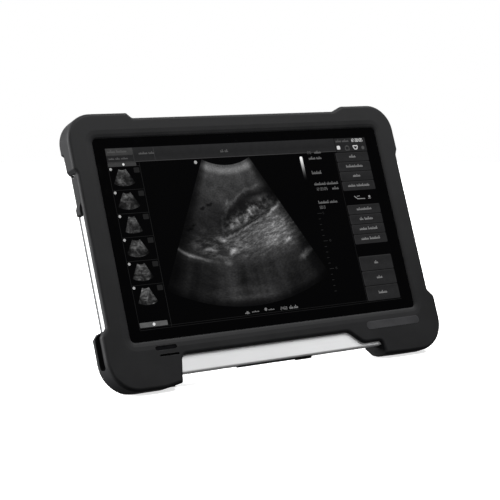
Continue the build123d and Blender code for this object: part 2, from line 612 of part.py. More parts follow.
# ---------------------------------------------------------------- left port cover and its sockets
with BuildPart() as port_cover:
    box_at(-SIDE_X, FLAP_BOTTOM, SHEET_Z - 0.2, -SIDE_X + FLAP_T, FLAP_PIN[1] - 2.9, BODY_BACK_Z)
    box_at(-SIDE_X, FLAP_PIN[1] - 3, SHEET_Z - 0.2, -SIDE_X + FLAP_SKIN, FLAP_PIN[1], BODY_BACK_Z)
    rod_at(*FLAP_PIN, -4.95, -9.15, FLAP_BARREL_R)
    box_at(-SIDE_X, FLAP_PIN[1] - 3, -4.95, -SIDE_X + FLAP_T, FLAP_PIN[1], -9.15)
    # pull lip that flares out at the lower end
    with BuildSketch(level(BODY_BACK_Z)):
        with BuildLine():
            Polyline((-SIDE_X, FLAP_BOTTOM + 10), (-SIDE_X - 1.9, FLAP_BOTTOM + 5.5),
                     (-SIDE_X - 1.9, FLAP_BOTTOM + 0.8), (-SIDE_X - 1.1, FLAP_BOTTOM),
                     (-SIDE_X, FLAP_BOTTOM), close=True)
        make_face()
    extrude(amount=SHEET_Z - 0.2 - BODY_BACK_Z)
    rod_at(*FLAP_PIN, 0, -20, FLAP_PIN_R + RUN_GAP, Mode.SUBTRACT)
pieces["port_cover"] = port_cover.part

with BuildPart() as port_cover_pin:
    rod_at(*FLAP_PIN, SHEET_Z - 0.3, BODY_BACK_Z, FLAP_PIN_R)
pieces["port_cover_pin"] = port_cover_pin.part

with BuildPart() as side_sockets:
    for y in (41.0, 30.5):
        box_at(-154.4, y - 4.5, -9.0, -143, y + 4.5, -5.6)
        box_at(-156, y - 4.1, -8.6, -144, y + 4.1, -6.0, Mode.SUBTRACT)
pieces["side_sockets"] = side_sockets.part

with BuildPart() as side_socket_tongues:
    for y in (41.0, 30.5):
        box_at(-153.4, y - 3.2, -7.6, -144, y + 3.2, -7.0)
pieces["side_socket_tongues"] = side_socket_tongues.part

with BuildPart() as power_jack:
    box_at(146, -57, -11.3, 154.2, -47, -5.1)
    with Locations(Location((152, -52, JACK_Z), (0, 90, 0))):
        Cylinder(2.5, 9, mode=Mode.SUBTRACT)
    with Locations(Location((150.5, -52, JACK_Z), (0, 90, 0))):
        Cylinder(0.9, 6.5)
pieces["power_jack"] = power_jack.part

# ---------------------------------------------------------------- side buttons
for name, y, length in BUTTONS:
    with BuildPart() as button:
        box_at(151.2, y - length / 2, BUTTON_Z - BUTTON_H / 2, BODY_X + 0.7, y + length / 2,
               BUTTON_Z + BUTTON_H / 2)
        fillet(button.faces().sort_by(Axis.X)[-1].edges(), radius=0.5)
        box_at(152.6, y - length / 2 - 1.2, BUTTON_Z - 1.4, 153.8, y + length / 2 + 1.2,
               BUTTON_Z + 1.4)
    pieces[name] = button.part

with BuildPart() as button_board:
    box_at(148.6, 6, -10.2, 149.6, 56, -5.2)
    for _, y, _ in BUTTONS:
        box_at(149.6, y - 1.8, -8.8, 150.3, y + 1.8, -5.2)
pieces["button_board"] = button_board.part

# ---------------------------------------------------------------- transducer socket
with BuildPart() as transducer_socket:
    low = SOCKET_TOP_Z - SOCKET[2]
    box_at(SOCKET_X, SOCKET_Y - SOCKET[1] / 2 + 0.3, SOCKET_TOP_Z - 0.3, SOCKET_X + SOCKET[0],
           SOCKET_Y + SOCKET[1] / 2 - 0.3, low)
    middle_z = (SOCKET_TOP_Z - 0.3 + low) / 2
    mouth_x = SOCKET_X + SOCKET[0]
    box_at(mouth_x - MOUTH[0], SOCKET_Y - MOUTH[1] / 2, middle_z - MOUTH[2] / 2, mouth_x + 1,
           SOCKET_Y + MOUTH[1] / 2, middle_z + MOUTH[2] / 2, Mode.SUBTRACT)
    # a chamfered lead-in around the mouth
    mouth_face = transducer_socket.faces().sort_by(Axis.X)[-1]
    chamfer(mouth_face.inner_wires()[0].edges(), length=1.0)
pieces["transducer_socket"] = transducer_socket.part

with BuildPart() as transducer_contacts:
    back = mouth_x - MOUTH[0]
    box_at(back, SOCKET_Y - 18, middle_z - 2.2, back + 3.0, SOCKET_Y + 18, middle_z + 2.2)
    for row in (-1, 1):
        for col in range(12):
            box_at(back + 3.0, SOCKET_Y - 16.8 + 3.0 * col, middle_z + row * 1.2 - 0.25,
                   back + 6.0, SOCKET_Y - 16.2 + 3.0 * col, middle_z + row * 1.2 + 0.25)
pieces["transducer_contacts"] = transducer_contacts.part

with BuildPart() as release_slider:
    box_at(104, -45.4, BACK_Z - 0.4, 117.4, -34.6, BACK_Z + 1.1)
    for k in range(4):
        box_at(106 + 2.6 * k, -44, BACK_Z - 1.0, 107.2 + 2.6 * k, -36, BACK_Z - 0.4)
    box_at(107.4, -41.6, BACK_Z + 1.1, 112.6, -38.4, INNER_BACK_Z + 2.4)
    box_at(105, -43.4, INNER_BACK_Z + 0.7, 115, -36.6, INNER_BACK_Z + 2.4)
pieces["release_slider"] = release_slider.part

# ---------------------------------------------------------------- sound and lights
with BuildPart() as speakers:
    for side in (-1, 1):
        box_at(side * 138, -95, -9.8, side * 150.5, -72, -5.2)
pieces["speakers"] = speakers.part

with BuildPart() as speaker_grilles:
    for side in (-1, 1):
        with BuildSketch(Plane.YZ.offset(side * BODY_X)):
            with Locations((-84, -8.2)):
                Rectangle(26, 6.8)
                with GridLocations(1.5, 1.4, 16, 4):
                    Circle(0.42, mode=Mode.SUBTRACT)
        extrude(amount=side * 0.6)
pieces["speaker_grilles"] = speaker_grilles.part

with BuildPart() as status_lens:
    with BuildSketch(level(-2.4)):
        with Locations((-110.5, -87.5)):
            SlotOverall(18.8, 3.0)
    extrude(amount=1.8)
pieces["status_lens"] = status_lens.part

with BuildPart() as status_light_board:
    box_at(-121, -89.2, -6.4, -100, -86.0, -5.4)
    for k in range(3):
        box_at(-117.2 + 6 * k, -88.3, -5.4, -115.8 + 6 * k, -86.7, -5.0)
pieces["status_light_board"] = status_light_board.part

with BuildPart() as microphone:
    box_at(-113, -95, -6.6, -104, -91.6, -5.0)
pieces["microphone"] = microphone.part

with BuildPart() as microphone_mesh:
    with BuildSketch(level(-2.9)):
        with Locations((-108.5, -93.3)):
            SlotOverall(16.8, 1.3)
    extrude(amount=1.2)
pieces["microphone_mesh"] = microphone_mesh.part

with BuildPart() as dock_connector:
    box_at(-44.8, BODY_BOTTOM - 1.0, -11.4, 26.8, BODY_BOTTOM + 3.6, -9.8)
    box_at(12, BODY_BOTTOM - 1.8, -11.4, 26.8, BODY_BOTTOM, -8.2)
    box_at(-44.6, BODY_BOTTOM - 0.6, -9.8, 26.6, BODY_BOTTOM + 3.6, -6.6)
pieces["dock_connector"] = dock_connector.part

with BuildPart() as rear_pads:
    for x, y in [(-107, 70), (107, 70), (-107, -82), (107, -82)]:
        rod_at(x, y, BACK_Z + 0.8, BACK_Z - 1.4, 4.9)
pieces["rear_pads"] = rear_pads.part

# ---------------------------------------------------------------- lean back, set the origin, export
lean_back = Location((0, 0, 0), (90 - LEAN, 0, 0))
leaned = {name: piece.moved(lean_back) for name, piece in pieces.items()}
boxes = [piece.bounding_box() for piece in leaned.values()]
front = min(b.min.Y for b in boxes)
rear = max(b.max.Y for b in boxes)
floor = min(b.min.Z for b in boxes)
to_origin = Location((0, -(front + rear) / 2, -floor))
print("kickstand opens", round(STAND_OPEN, 3), "origin moves by", -(front + rear) / 2, -floor)

os.makedirs("parts", exist_ok=True)
for name, piece in leaned.items():
    placed = piece.moved(to_origin)
    placed.label = name
    export_step(placed, f"parts/{name}.step")
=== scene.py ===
import math

import bmesh
import bpy
from mathutils import Matrix, Vector


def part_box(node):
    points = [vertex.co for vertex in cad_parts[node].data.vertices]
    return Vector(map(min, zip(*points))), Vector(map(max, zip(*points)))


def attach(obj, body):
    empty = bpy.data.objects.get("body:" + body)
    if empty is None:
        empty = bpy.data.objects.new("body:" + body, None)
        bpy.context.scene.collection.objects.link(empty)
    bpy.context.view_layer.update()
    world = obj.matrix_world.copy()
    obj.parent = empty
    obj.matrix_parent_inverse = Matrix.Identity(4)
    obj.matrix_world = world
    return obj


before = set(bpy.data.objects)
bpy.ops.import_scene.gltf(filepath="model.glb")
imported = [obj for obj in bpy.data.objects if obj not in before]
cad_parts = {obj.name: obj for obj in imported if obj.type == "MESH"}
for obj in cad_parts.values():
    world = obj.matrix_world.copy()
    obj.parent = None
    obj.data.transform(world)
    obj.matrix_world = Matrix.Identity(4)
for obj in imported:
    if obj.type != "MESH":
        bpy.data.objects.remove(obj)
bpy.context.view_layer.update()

# ------------------------------------------------------------------ the screen frame
# X right, Y up the screen, Z out of the screen. The origin is before the middle of the glass, level
# with the bumper's front. New shapes are drawn in this frame, in millimetres.
LEAN = math.radians(21.5)
RIGHT = Vector((1, 0, 0))
UP = Vector((0, math.sin(LEAN), math.cos(LEAN)))
OUT = Vector((0, -math.cos(LEAN), math.sin(LEAN)))
GLASS_DEPTH = 0.0021    # m, from the bumper's front back to the middle of the glass
glass_low, glass_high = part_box("cover_glass")
ORIGIN = (glass_low + glass_high) / 2 + OUT * GLASS_DEPTH
SCREEN = Matrix((
    (RIGHT.x, UP.x, OUT.x, ORIGIN.x),
    (RIGHT.y, UP.y, OUT.y, ORIGIN.y),
    (RIGHT.z, UP.z, OUT.z, ORIGIN.z),
    (0, 0, 0, 1),
))
GLASS_TOP = -1.5        # mm, the face of the glass
UNDERSIDE = GLASS_TOP + 0.004   # mm, the lower face of every lit shape
LAYER = 0.025           # mm, one layer of the lit picture above the other
HALF_ROW = 0.24         # mm, half the pitch of the display's rows and columns
FIRST_PICTURE = 56.0    # mm, height of the uppermost small picture's dot
PICTURE_PITCH = 19.0    # mm, from one small picture to the next


# ------------------------------------------------------------------ material helper
class Paint:
    """One node material, built with short calls, each of which returns its node's output.
    Coordinates are the object's own, in millimetres."""

    def __init__(self, name, metallic=0.0, roughness=0.5, specular=0.5, **sockets):
        self.material = bpy.data.materials.new(name)
        self.material.use_nodes = True
        self.tree = self.material.node_tree
        self.shader = next(n for n in self.tree.nodes if n.type == "BSDF_PRINCIPLED")
        self.set("Metallic", metallic)
        self.set("Roughness", roughness)
        self.set("Specular IOR Level", specular)
        for key, value in sockets.items():
            self.set(key.replace("_", " "), value)
        coords = self.tree.nodes.new("ShaderNodeTexCoord")
        self.mm = self.vector("SCALE", coords.outputs["Object"], scale=1000)

    def put(self, socket, value):
        """Links a node's output to the socket, or sets a number, a vector or a colour on it."""
        if isinstance(value, bpy.types.NodeSocket):
            self.tree.links.new(value, socket)
        elif value is not None:
            if hasattr(socket.default_value, "__len__") and not hasattr(value, "__len__"):
                value = [value] * 3
            if hasattr(value, "__len__") and len(socket.default_value) == 4 and len(value) == 3:
                value = [*value, 1]
            socket.default_value = value

    def set(self, name, value):
        """Puts a value on one of the shader's own sockets."""
        self.put(self.shader.inputs[name], value)

    def node(self, kind, **settings):
        made = self.tree.nodes.new(kind)
        for key, value in settings.items():
            setattr(made, key, value)
        return made

    def vector(self, operation, a, b=None, scale=None):
        made = self.node("ShaderNodeVectorMath", operation=operation)
        self.put(made.inputs[0], a)
        self.put(made.inputs[1], b)
        if scale is not None:
            self.put(made.inputs["Scale"], scale)
        return made.outputs["Value"] if operation in ("DOT_PRODUCT", "LENGTH") else made.outputs[0]

    def calc(self, operation, a, b=None, c=None, clamp=False):
        made = self.node("ShaderNodeMath", operation=operation, use_clamp=clamp)
        for socket, value in zip(made.inputs, (a, b, c)):
            self.put(socket, value)
        return made.outputs[0]

    def add(self, *terms):
        total = terms[0]
        for term in terms[1:]:
            total = self.calc("ADD", total, term)
        return total

    def mul(self, *terms):
        total = terms[0]
        for term in terms[1:]:
            total = self.calc("MULTIPLY", total, term)
        return total

    def smooth(self, value, low, high, out_low=0.0, out_high=1.0):
        """Turns low to high into out_low to out_high, with soft ends."""
        made = self.node("ShaderNodeMapRange", interpolation_type="SMOOTHSTEP")
        for socket, number in zip(made.inputs, (value, low, high, out_low, out_high)):
            self.put(socket, number)
        return made.outputs[0]

    def xyz(self, vector):
        made = self.node("ShaderNodeSeparateXYZ")
        self.put(made.inputs[0], vector)
        return made.outputs

    def join(self, x, y, z=0.0):
        made = self.node("ShaderNodeCombineXYZ")
        for socket, value in zip(made.inputs, (x, y, z)):
            self.put(socket, value)
        return made.outputs[0]

    def noise(self, scale, detail=2.0, rough=0.5, distort=0.0, at=None):
        made = self.node("ShaderNodeTexNoise")
        self.put(made.inputs["Vector"], self.mm if at is None else at)
        for key, value in (("Scale", scale), ("Detail", detail), ("Roughness", rough),
                           ("Distortion", distort)):
            self.put(made.inputs[key], value)
        return made.outputs[0]

    def cells(self, scale, feature="F1"):
        made = self.node("ShaderNodeTexVoronoi", feature=feature)
        self.put(made.inputs["Vector"], self.mm)
        self.put(made.inputs["Scale"], scale)
        return made.outputs[0]

    def stretched(self, x, y, z):
        """The coordinates, scaled by a factor along each axis."""
        return self.vector("MULTIPLY", self.mm, (x, y, z))

    def mix(self, fac, a, b):
        made = self.node("ShaderNodeMix", data_type="RGBA")
        self.put(made.inputs[0], fac)
        self.put(made.inputs[6], a)
        self.put(made.inputs[7], b)
        return made.outputs[2]

    def bump(self, height, strength, distance, edge=0.0):
        """Surface relief. With an edge radius, sharp corners are shaded round too. The distance and
        the radius are in metres."""
        made = self.node("ShaderNodeBump")
        self.put(made.inputs["Height"], height)
        made.inputs["Strength"].default_value = strength
        made.inputs["Distance"].default_value = distance
        if edge:
            self.put(made.inputs["Normal"], self.rounded(edge))
        self.put(self.shader.inputs["Normal"], made.outputs[0])

    def rounded(self, radius):
        made = self.node("ShaderNodeBevel", samples=4)
        made.inputs["Radius"].default_value = radius
        return made.outputs[0]

    def edges(self, radius):
        """1 along sharp edges, 0 on flats."""
        normal = self.node("ShaderNodeNewGeometry").outputs["Normal"]
        same = self.vector("DOT_PRODUCT", self.rounded(radius), normal)
        return self.smooth(self.calc("SUBTRACT", 1.0, same), 0.02, 0.2)


# ------------------------------------------------------------------ materials of the solid parts
BLACK_GLASS = (0.0012, 0.0012, 0.0014)


def rubber(name, dark, light, rough=0.62, grain=2.6, wear=0.3):
    """Moulded rubber: fine matt grain, faint cloudy bloom, dust specks, edges rubbed lighter."""
    p = Paint(name, specular=0.17)
    cloud = p.noise(0.035, 4, 0.6)
    fine = p.noise(grain, 3, 0.7)
    colour = p.mix(p.smooth(cloud, 0.3, 0.7), dark, light)
    specks = p.smooth(p.cells(0.55), 0.10, 0.03)
    sparse = p.smooth(p.noise(0.12, 2), 0.56, 0.66)
    colour = p.mix(p.mul(specks, sparse, 0.35), colour, [min(1, 4 * v) for v in light])
    rubbed = p.mul(p.edges(0.0011), p.smooth(p.noise(0.25, 3), 0.35, 0.7), wear)
    colour = p.mix(rubbed, colour, [2.2 * v for v in light])
    p.set("Base Color", colour)
    p.set("Roughness", p.add(p.mul(cloud, 0.18), p.mul(fine, 0.1), rough - 0.14))
    p.bump(p.add(p.mul(fine, 0.7), p.mul(p.cells(grain * 0.9), 0.5)), 0.35, 0.00006, 0.0005)
    return p.material


def anodised(name, tone, metallic):
    """Bead-blasted, clear anodised aluminium, with faint drawn streaks and handling marks."""
    p = Paint(name, metallic=metallic)
    blast = p.noise(5.0, 2, 0.8)
    streak = p.noise(0.6, 3, 0.6, at=p.stretched(0.04, 1, 1))
    cloud = p.noise(0.02, 4, 0.55)
    low = [v * 0.90 for v in tone]
    colour = p.mix(p.add(p.mul(streak, 0.5), p.mul(cloud, 0.5)), low, tone)
    # painted shade: the side walls, whose normals point along X, are painted greyer than the blasted
    # front
    facing = p.xyz(p.node("ShaderNodeNewGeometry").outputs["Normal"])[0]
    side = p.smooth(p.calc("ABSOLUTE", facing), 0.7, 0.95)
    colour = p.mix(p.mul(side, 0.85), colour, [v * 0.66 for v in tone])
    nick = p.mul(p.smooth(p.noise(0.9, 4, 0.75), 0.66, 0.72), p.edges(0.0006), 0.6)
    colour = p.mix(nick, colour, [v * 0.62 for v in tone])
    p.set("Base Color", colour)
    p.set("Roughness", p.add(p.mul(cloud, 0.14), p.mul(blast, 0.12), 0.29))
    p.bump(p.add(blast, p.mul(streak, 0.4)), 0.22, 0.00003, 0.0005)
    return p.material


def spark_plastic(name, dark, light, cell=1.5, rough=0.6):
    """Spark-eroded moulded plastic: small rounded pits, slightly shiny tops."""
    p = Paint(name, specular=0.4)
    pits = p.cells(cell, "SMOOTH_F1")
    fine = p.noise(cell * 3, 3, 0.7)
    cloud = p.noise(0.03, 3)
    height = p.add(p.smooth(pits, 0.1, 0.55), p.mul(fine, 0.35))
    p.set("Base Color", p.mix(p.add(p.mul(cloud, 0.6), p.mul(pits, 0.5)), dark, light))
    p.set("Roughness", p.add(rough - 0.1, p.mul(fine, 0.16), p.mul(p.edges(0.0009), -0.15)))
    p.bump(height, 0.5, 0.00009, 0.0004)
    return p.material


def dark_glass(name):
    """Black-backed cover glass with dust specks, and faint finger smears that only change its gloss."""
    p = Paint(name, specular=0.42)
    smear = p.noise(0.05, 4, 0.6, 1.4, at=p.stretched(1, 1, 0.6))
    print_ridges = p.noise(1.4, 2, 0.5, 2.0)
    dust = p.smooth(p.cells(0.35), 0.06, 0.02)
    p.set("Base Color", p.mix(p.mul(dust, 0.12), BLACK_GLASS, (0.05, 0.05, 0.05)))
    film = p.smooth(smear, 0.52, 0.74)
    p.set("Roughness", p.add(0.05, p.mul(film, 0.05), p.mul(film, print_ridges, 0.03)))
    p.bump(p.noise(0.03, 1), 0.05, 0.00002)
    return p.material


def worn_metal(name, tone, rough, turned=False):
    """Machined metal: fine tool lines (even grain where it is turned), stains and brighter edges."""
    p = Paint(name, metallic=1.0)
    lines = p.noise(6.0, 2, 0.7, at=None if turned else p.stretched(1, 0.15, 0.15))
    stain = p.noise(0.25, 4, 0.6)
    colour = p.mix(p.smooth(stain, 0.25, 0.75), [v * 0.72 for v in tone], tone)
    colour = p.mix(p.mul(p.edges(0.0003), 0.5), colour, [min(1, v * 1.25) for v in tone])
    p.set("Base Color", colour)
    p.set("Roughness", p.add(rough - 0.1, p.mul(stain, 0.15), p.mul(lines, 0.12)))
    p.bump(lines, 0.25, 0.00003, 0.00025)
    return p.material


def powder_coat(name, tone, chips=0.6):
    """Black powder coat: orange-peel bumps, chipped thin at edges."""
    p = Paint(name, metallic=0.1)
    peel = p.noise(1.1, 2, 0.5)
    sparkle = p.noise(7.0, 2, 0.8)
    rub = p.mul(p.edges(0.0008), p.smooth(p.noise(0.5, 3), 0.45, 0.7))
    colour = p.mix(p.mul(sparkle, 0.5), [v * 0.7 for v in tone], [v * 1.5 for v in tone])
    p.set("Base Color", p.mix(p.mul(rub, chips), colour, (0.22, 0.22, 0.22)))
    p.set("Roughness", p.add(0.42, p.mul(peel, 0.18), p.mul(rub, -0.12)))
    p.bump(p.add(peel, p.mul(sparkle, 0.25)), 0.4, 0.00012, 0.0004)
    return p.material


def board(name):
    """Circuit board: solder mask over faint tracks, with gilt pads."""
    p = Paint(name, roughness=0.35)
    x, _, _ = p.xyz(p.mm)
    lanes = p.calc("PINGPONG", p.add(x, p.mul(p.noise(0.15, 1), 12)), 0.8)
    tracks = p.smooth(lanes, 0.25, 0.4)
    pads = p.smooth(p.cells(0.28), 0.16, 0.12)
    colour = p.mix(tracks, (0.006, 0.05, 0.022), (0.012, 0.11, 0.045))
    p.set("Base Color", p.mix(p.mul(pads, 0.8), colour, (0.62, 0.5, 0.22)))
    p.set("Metallic", p.mul(pads, 0.8))
    p.bump(p.add(p.mul(tracks, 0.5), pads), 0.3, 0.00004)
    return p.material


def diffuser(name, tone):
    """Light plastic film with fine prism lines."""
    p = Paint(name, roughness=0.45)
    lines = p.noise(3.0, 2, 0.5, at=p.stretched(0.05, 1, 1))
    p.set("Base Color", p.mix(lines, [v * 0.85 for v in tone], tone))
    p.bump(lines, 0.2, 0.00003)
    return p.material


def smoked_lens(name):
    """Smoked plastic over three unlit status lights, too dark to see through."""
    p = Paint(name, specular=0.35, Coat_Weight=0.2)
    haze = p.noise(0.9, 3)
    p.set("Base Color", p.mix(haze, (0.002, 0.002, 0.0025), (0.008, 0.008, 0.009)))
    p.set("Roughness", p.add(0.08, p.mul(haze, 0.08)))
    p.bump(p.noise(0.4, 2), 0.08, 0.00003)
    return p.material


def wrap_film(name):
    """Shrink film round the battery: thin wrinkles and a satin gloss."""
    p = Paint(name)
    wrinkle = p.noise(0.18, 4, 0.6, 1.2, at=p.stretched(1, 0.3, 1))
    p.set("Base Color", p.mix(wrinkle, (0.012, 0.018, 0.03), (0.03, 0.04, 0.06)))
    p.set("Roughness", p.add(0.25, p.mul(wrinkle, 0.2)))
    p.bump(wrinkle, 0.4, 0.0003)
    return p.material


RUBBER = rubber("bumper_rubber", (0.0062, 0.0063, 0.0069), (0.0096, 0.0097, 0.0105))
SOFT = rubber("soft_rubber", (0.0072, 0.0073, 0.0078), (0.0112, 0.0113, 0.0118), 0.68, 3.4)
SILVER = anodised("clear_anodised", (0.92, 0.925, 0.93), 0.22)
COVER = spark_plastic("cover_plastic", (0.012, 0.0122, 0.013), (0.026, 0.0262, 0.0275))
BLACK = spark_plastic("black_plastic", (0.006, 0.006, 0.0065), (0.015, 0.015, 0.016), 2.6, 0.5)
STEEL = worn_metal("screw_steel", (0.46, 0.46, 0.47), 0.32, turned=True)
PLATED = worn_metal("socket_steel", (0.66, 0.66, 0.66), 0.25)
BRASS = worn_metal("insert_brass", (0.66, 0.48, 0.20), 0.3, turned=True)
COPPER = worn_metal("heat_copper", (0.72, 0.36, 0.20), 0.3)
GOLD = worn_metal("contact_gold", (0.80, 0.58, 0.24), 0.22)
MILLED = worn_metal("milled_aluminium", (0.62, 0.63, 0.64), 0.35)
COAT = powder_coat("stand_coat", (0.02, 0.02, 0.021))
MESH = powder_coat("mesh_black", (0.0022, 0.0022, 0.0024), 0.02)
GLASS = dark_glass("cover_glass_black")
BOARD = board("solder_mask")
LENS = smoked_lens("status_smoke")

CAD_MATERIALS = {
    "rubber_bumper": RUBBER, "main_housing": SILVER, "rear_cover": COVER, "battery_door": COVER,
    "cover_glass": GLASS, "status_lens": LENS, "port_cover": SOFT, "kickstand_foot": SOFT,
    "release_slider": SOFT, "rear_pads": SOFT, "kickstand": COAT, "kickstand_hinge_pins": STEEL,
    "power_button": BLACK, "volume_up_button": BLACK, "volume_down_button": BLACK,
    "power_jack": BLACK, "transducer_socket": BLACK, "transducer_contacts": GOLD,
    "dock_connector": BLACK, "microphone": BLACK, "speakers": BLACK,
    "speaker_grilles": MESH, "microphone_mesh": MESH,
    "side_sockets": PLATED, "side_socket_tongues": BLACK, "port_cover_pin": STEEL,
    "rear_cover_screws": STEEL, "battery_door_screws": STEEL, "mid_frame_screws": STEEL,
    "vesa_inserts": BRASS, "board_standoffs": BRASS, "mid_frame": MILLED, "fin_stack": MILLED,
    "heat_spreader": COPPER, "heat_pipe": COPPER, "blower_housing": BLACK, "blower_rotor": BLACK,
    "blower_axle": STEEL, "main_board": BOARD, "beamformer_board": BOARD, "antenna": BOARD,
    "button_board": BOARD, "status_light_board": BOARD, "battery_pack": wrap_film("battery_film"),
    "glass_gasket": spark_plastic("gasket_foam", (0.01, 0.01, 0.01), (0.03, 0.03, 0.03), 0.9, 0.8),
    "touch_sensor": diffuser("sensor_film", (0.10, 0.11, 0.12)),
    "lcd_panel": diffuser("panel_film", (0.02, 0.02, 0.022)),
    "backlight_unit": diffuser("diffuser_film", (0.8, 0.8, 0.78)),
}
for node_name, cad_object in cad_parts.items():
    cad_object.data.materials.clear()
    cad_object.data.materials.append(CAD_MATERIALS[node_name])


# ------------------------------------------------------------------ mesh helpers, in mm, screen frame
def prism(bm, outline, low, high):
    """A closed flat solid over a convex outline, between two heights."""
    rings = [[bm.verts.new((x / 1000, y / 1000, z / 1000)) for x, y in outline] for z in (low, high)]
    bm.faces.new(list(reversed(rings[0])))
    bm.faces.new(rings[1])
    count = len(outline)
    for i in range(count):
        j = (i + 1) % count
        bm.faces.new((rings[0][i], rings[0][j], rings[1][j], rings[1][i]))


def rounded_box(x0, y0, x1, y1, radius, steps):
    """A box's outline, its corners rounded in a number of steps."""
    points = []
    for cx, cy, start in ((x1 - radius, y0 + radius, -90), (x1 - radius, y1 - radius, 0),
                          (x0 + radius, y1 - radius, 90), (x0 + radius, y0 + radius, 180)):
        for k in range(steps + 1):
            angle = math.radians(start + 90 * k / steps)
            points.append((cx + radius * math.cos(angle), cy + radius * math.sin(angle)))
    return points


def disc(x, y, radius, count=20):
    """A round outline with a number of points."""
    return [(x + radius * math.cos(2 * math.pi * k / count),
             y + radius * math.sin(2 * math.pi * k / count)) for k in range(count)]


def stroke(x0, y0, x1, y1, width):
    """A straight line drawn as a thin four-sided outline."""
    dx, dy = x1 - x0, y1 - y0
    length = math.hypot(dx, dy)
    nx, ny = -dy / length * width / 2, dx / length * width / 2
    return [(x0 - nx, y0 - ny), (x1 - nx, y1 - ny), (x1 + nx, y1 + ny), (x0 + nx, y0 + ny)]


def fan(bm, cx, cy, r0, r1, half, rows, columns):
    """A closed flat solid on the glass, in the shape of a curved transducer's picture: a ring's
    sector from radius r0 to r1, opening by the angle half to each side of straight down."""
    layers = []
    for z in (UNDERSIDE, GLASS_TOP + LAYER * 2):
        layers.append([[bm.verts.new((
            (cx + r * math.sin(a)) / 1000, (cy - r * math.cos(a)) / 1000, z / 1000))
            for a in [half * (2 * c / columns - 1) for c in range(columns + 1)]]
            for r in [r0 + (r1 - r0) * k / rows for k in range(rows + 1)]])
    under, over = layers
    for k in range(rows):
        for c in range(columns):
            bm.faces.new((over[k][c], over[k + 1][c], over[k + 1][c + 1], over[k][c + 1]))
            bm.faces.new((under[k][c], under[k][c + 1], under[k + 1][c + 1], under[k + 1][c]))
    for c in range(columns):
        bm.faces.new((under[0][c], over[0][c], over[0][c + 1], under[0][c + 1]))
        bm.faces.new((under[rows][c], under[rows][c + 1], over[rows][c + 1], over[rows][c]))
    for k in range(rows):
        bm.faces.new((under[k][0], under[k + 1][0], over[k + 1][0], over[k][0]))
        bm.faces.new((under[k][columns], over[k][columns], over[k + 1][columns],
                      under[k + 1][columns]))


def finish_piece(name, bm, material, body="tablet", matrix=SCREEN):
    """Turns the mesh drawn in bm into a piece that rides on a body."""
    bmesh.ops.recalc_face_normals(bm, faces=bm.faces)
    mesh = bpy.data.meshes.new(name)
    bm.to_mesh(mesh)
    bm.free()
    mesh.materials.append(material)
    made = bpy.data.objects.new(name, mesh)
    bpy.context.scene.collection.objects.link(made)
    made.matrix_world = matrix
    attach(made, body)


def flat_piece(name, outlines, layer, material):
    """Thin closed shapes lying on the glass, all in one piece of the lit picture."""
    bm = bmesh.new()
    for outline in outlines:
        prism(bm, outline, UNDERSIDE, GLASS_TOP + LAYER * (layer + 1))
    finish_piece(name, bm, material)


# ------------------------------------------------------------------ the lit picture's materials
def lit(name):
    """The base of every lit material: black, glossy like the glass over it."""
    p = Paint(name, roughness=0.08, specular=0.42, Emission_Strength=1.0)
    p.set("Base Color", BLACK_GLASS)
    return p


def show(p, value, tint=(1.0, 1.0, 1.0)):
    """Emits a display value from 0 to 1, turned to light as a display does."""
    light = p.calc("POWER", p.calc("MAXIMUM", value, 0.0), 2.2)
    p.set("Emission Color", p.vector("SCALE", tint, scale=light))
    return p.material


def plain_light(name, value, grain, tint=(1.0, 1.0, 1.0), fall=0.0):
    """A lit shape with a cloudy grain, the display's rows and columns, and a soft vertical shade
    where fall isn't 0."""
    p = lit(name)
    x, y, _ = p.xyz(p.mm)
    rows = p.calc("PINGPONG", p.mul(y, 1 / HALF_ROW), 1.0)
    columns = p.calc("PINGPONG", p.mul(x, 1 / HALF_ROW), 1.0)
    pixels = p.mul(p.smooth(rows, 0.0, 0.35, 0.72, 1.0), p.smooth(columns, 0.0, 0.35, 0.8, 1.0))
    cloud = p.add(1 - grain / 2, p.mul(p.noise(0.22, 3), grain))
    shade = p.add(1.0, p.mul(p.calc("PINGPONG", y, 6.0), fall / 6))
    return show(p, p.mul(value, pixels, cloud, shade, 1.12), tint)


def oval(p, at, cx, cy, a, b, turn, soft):
    """1 inside an oval with half axes a and b, tilted by turn degrees, falling to 0 outside it."""
    x, y = at
    c, s = math.cos(math.radians(turn)), math.sin(math.radians(turn))
    u = p.add(p.mul(x, c / a), p.mul(y, s / a), -(cx * c + cy * s) / a)
    v = p.add(p.mul(x, -s / b), p.mul(y, c / b), (cx * s - cy * c) / b)
    away = p.vector("LENGTH", p.join(u, v))
    return p.smooth(away, 1 + soft, 1 - soft)


def trail(p, at, points, width):
    """1 on a bent line, falling to 0 at the width."""
    nearest = None
    for (x0, y0), (x1, y1) in zip(points, points[1:]):
        dx, dy = x1 - x0, y1 - y0
        square = dx * dx + dy * dy
        px, py = p.add(at[0], -x0), p.add(at[1], -y0)
        t = p.calc("ADD", p.mul(px, dx / square), p.mul(py, dy / square), clamp=True)
        away = p.vector("LENGTH", p.join(p.add(px, p.mul(t, -dx)), p.add(py, p.mul(t, -dy))))
        nearest = away if nearest is None else p.calc("MINIMUM", nearest, away)
    return p.smooth(nearest, width, 0.0)


def brighten(p, value, at, spots, soft=0.9):
    """Adds light in soft ovals, each given as centre x and y, half axes, turn and gain."""
    for cx, cy, a, b, turn, gain in spots:
        value = p.add(value, p.mul(oval(p, at, cx, cy, a, b, turn, soft), gain))
    return value


def darken(p, value, at, spots, soft):
    """Multiplies by the last number inside soft ovals, each given as in brighten."""
    for cx, cy, a, b, turn, left in spots:
        value = p.mul(value, p.smooth(oval(p, at, cx, cy, a, b, turn, soft), 0, 1, 1.0, left))
    return value


# The sector, in mm: the point that its scan lines come from, its two radii, and half its angle.
APEX = (-20.6, 103.0)
NEAR, FAR, HALF = 48.5, 166.5, 0.492

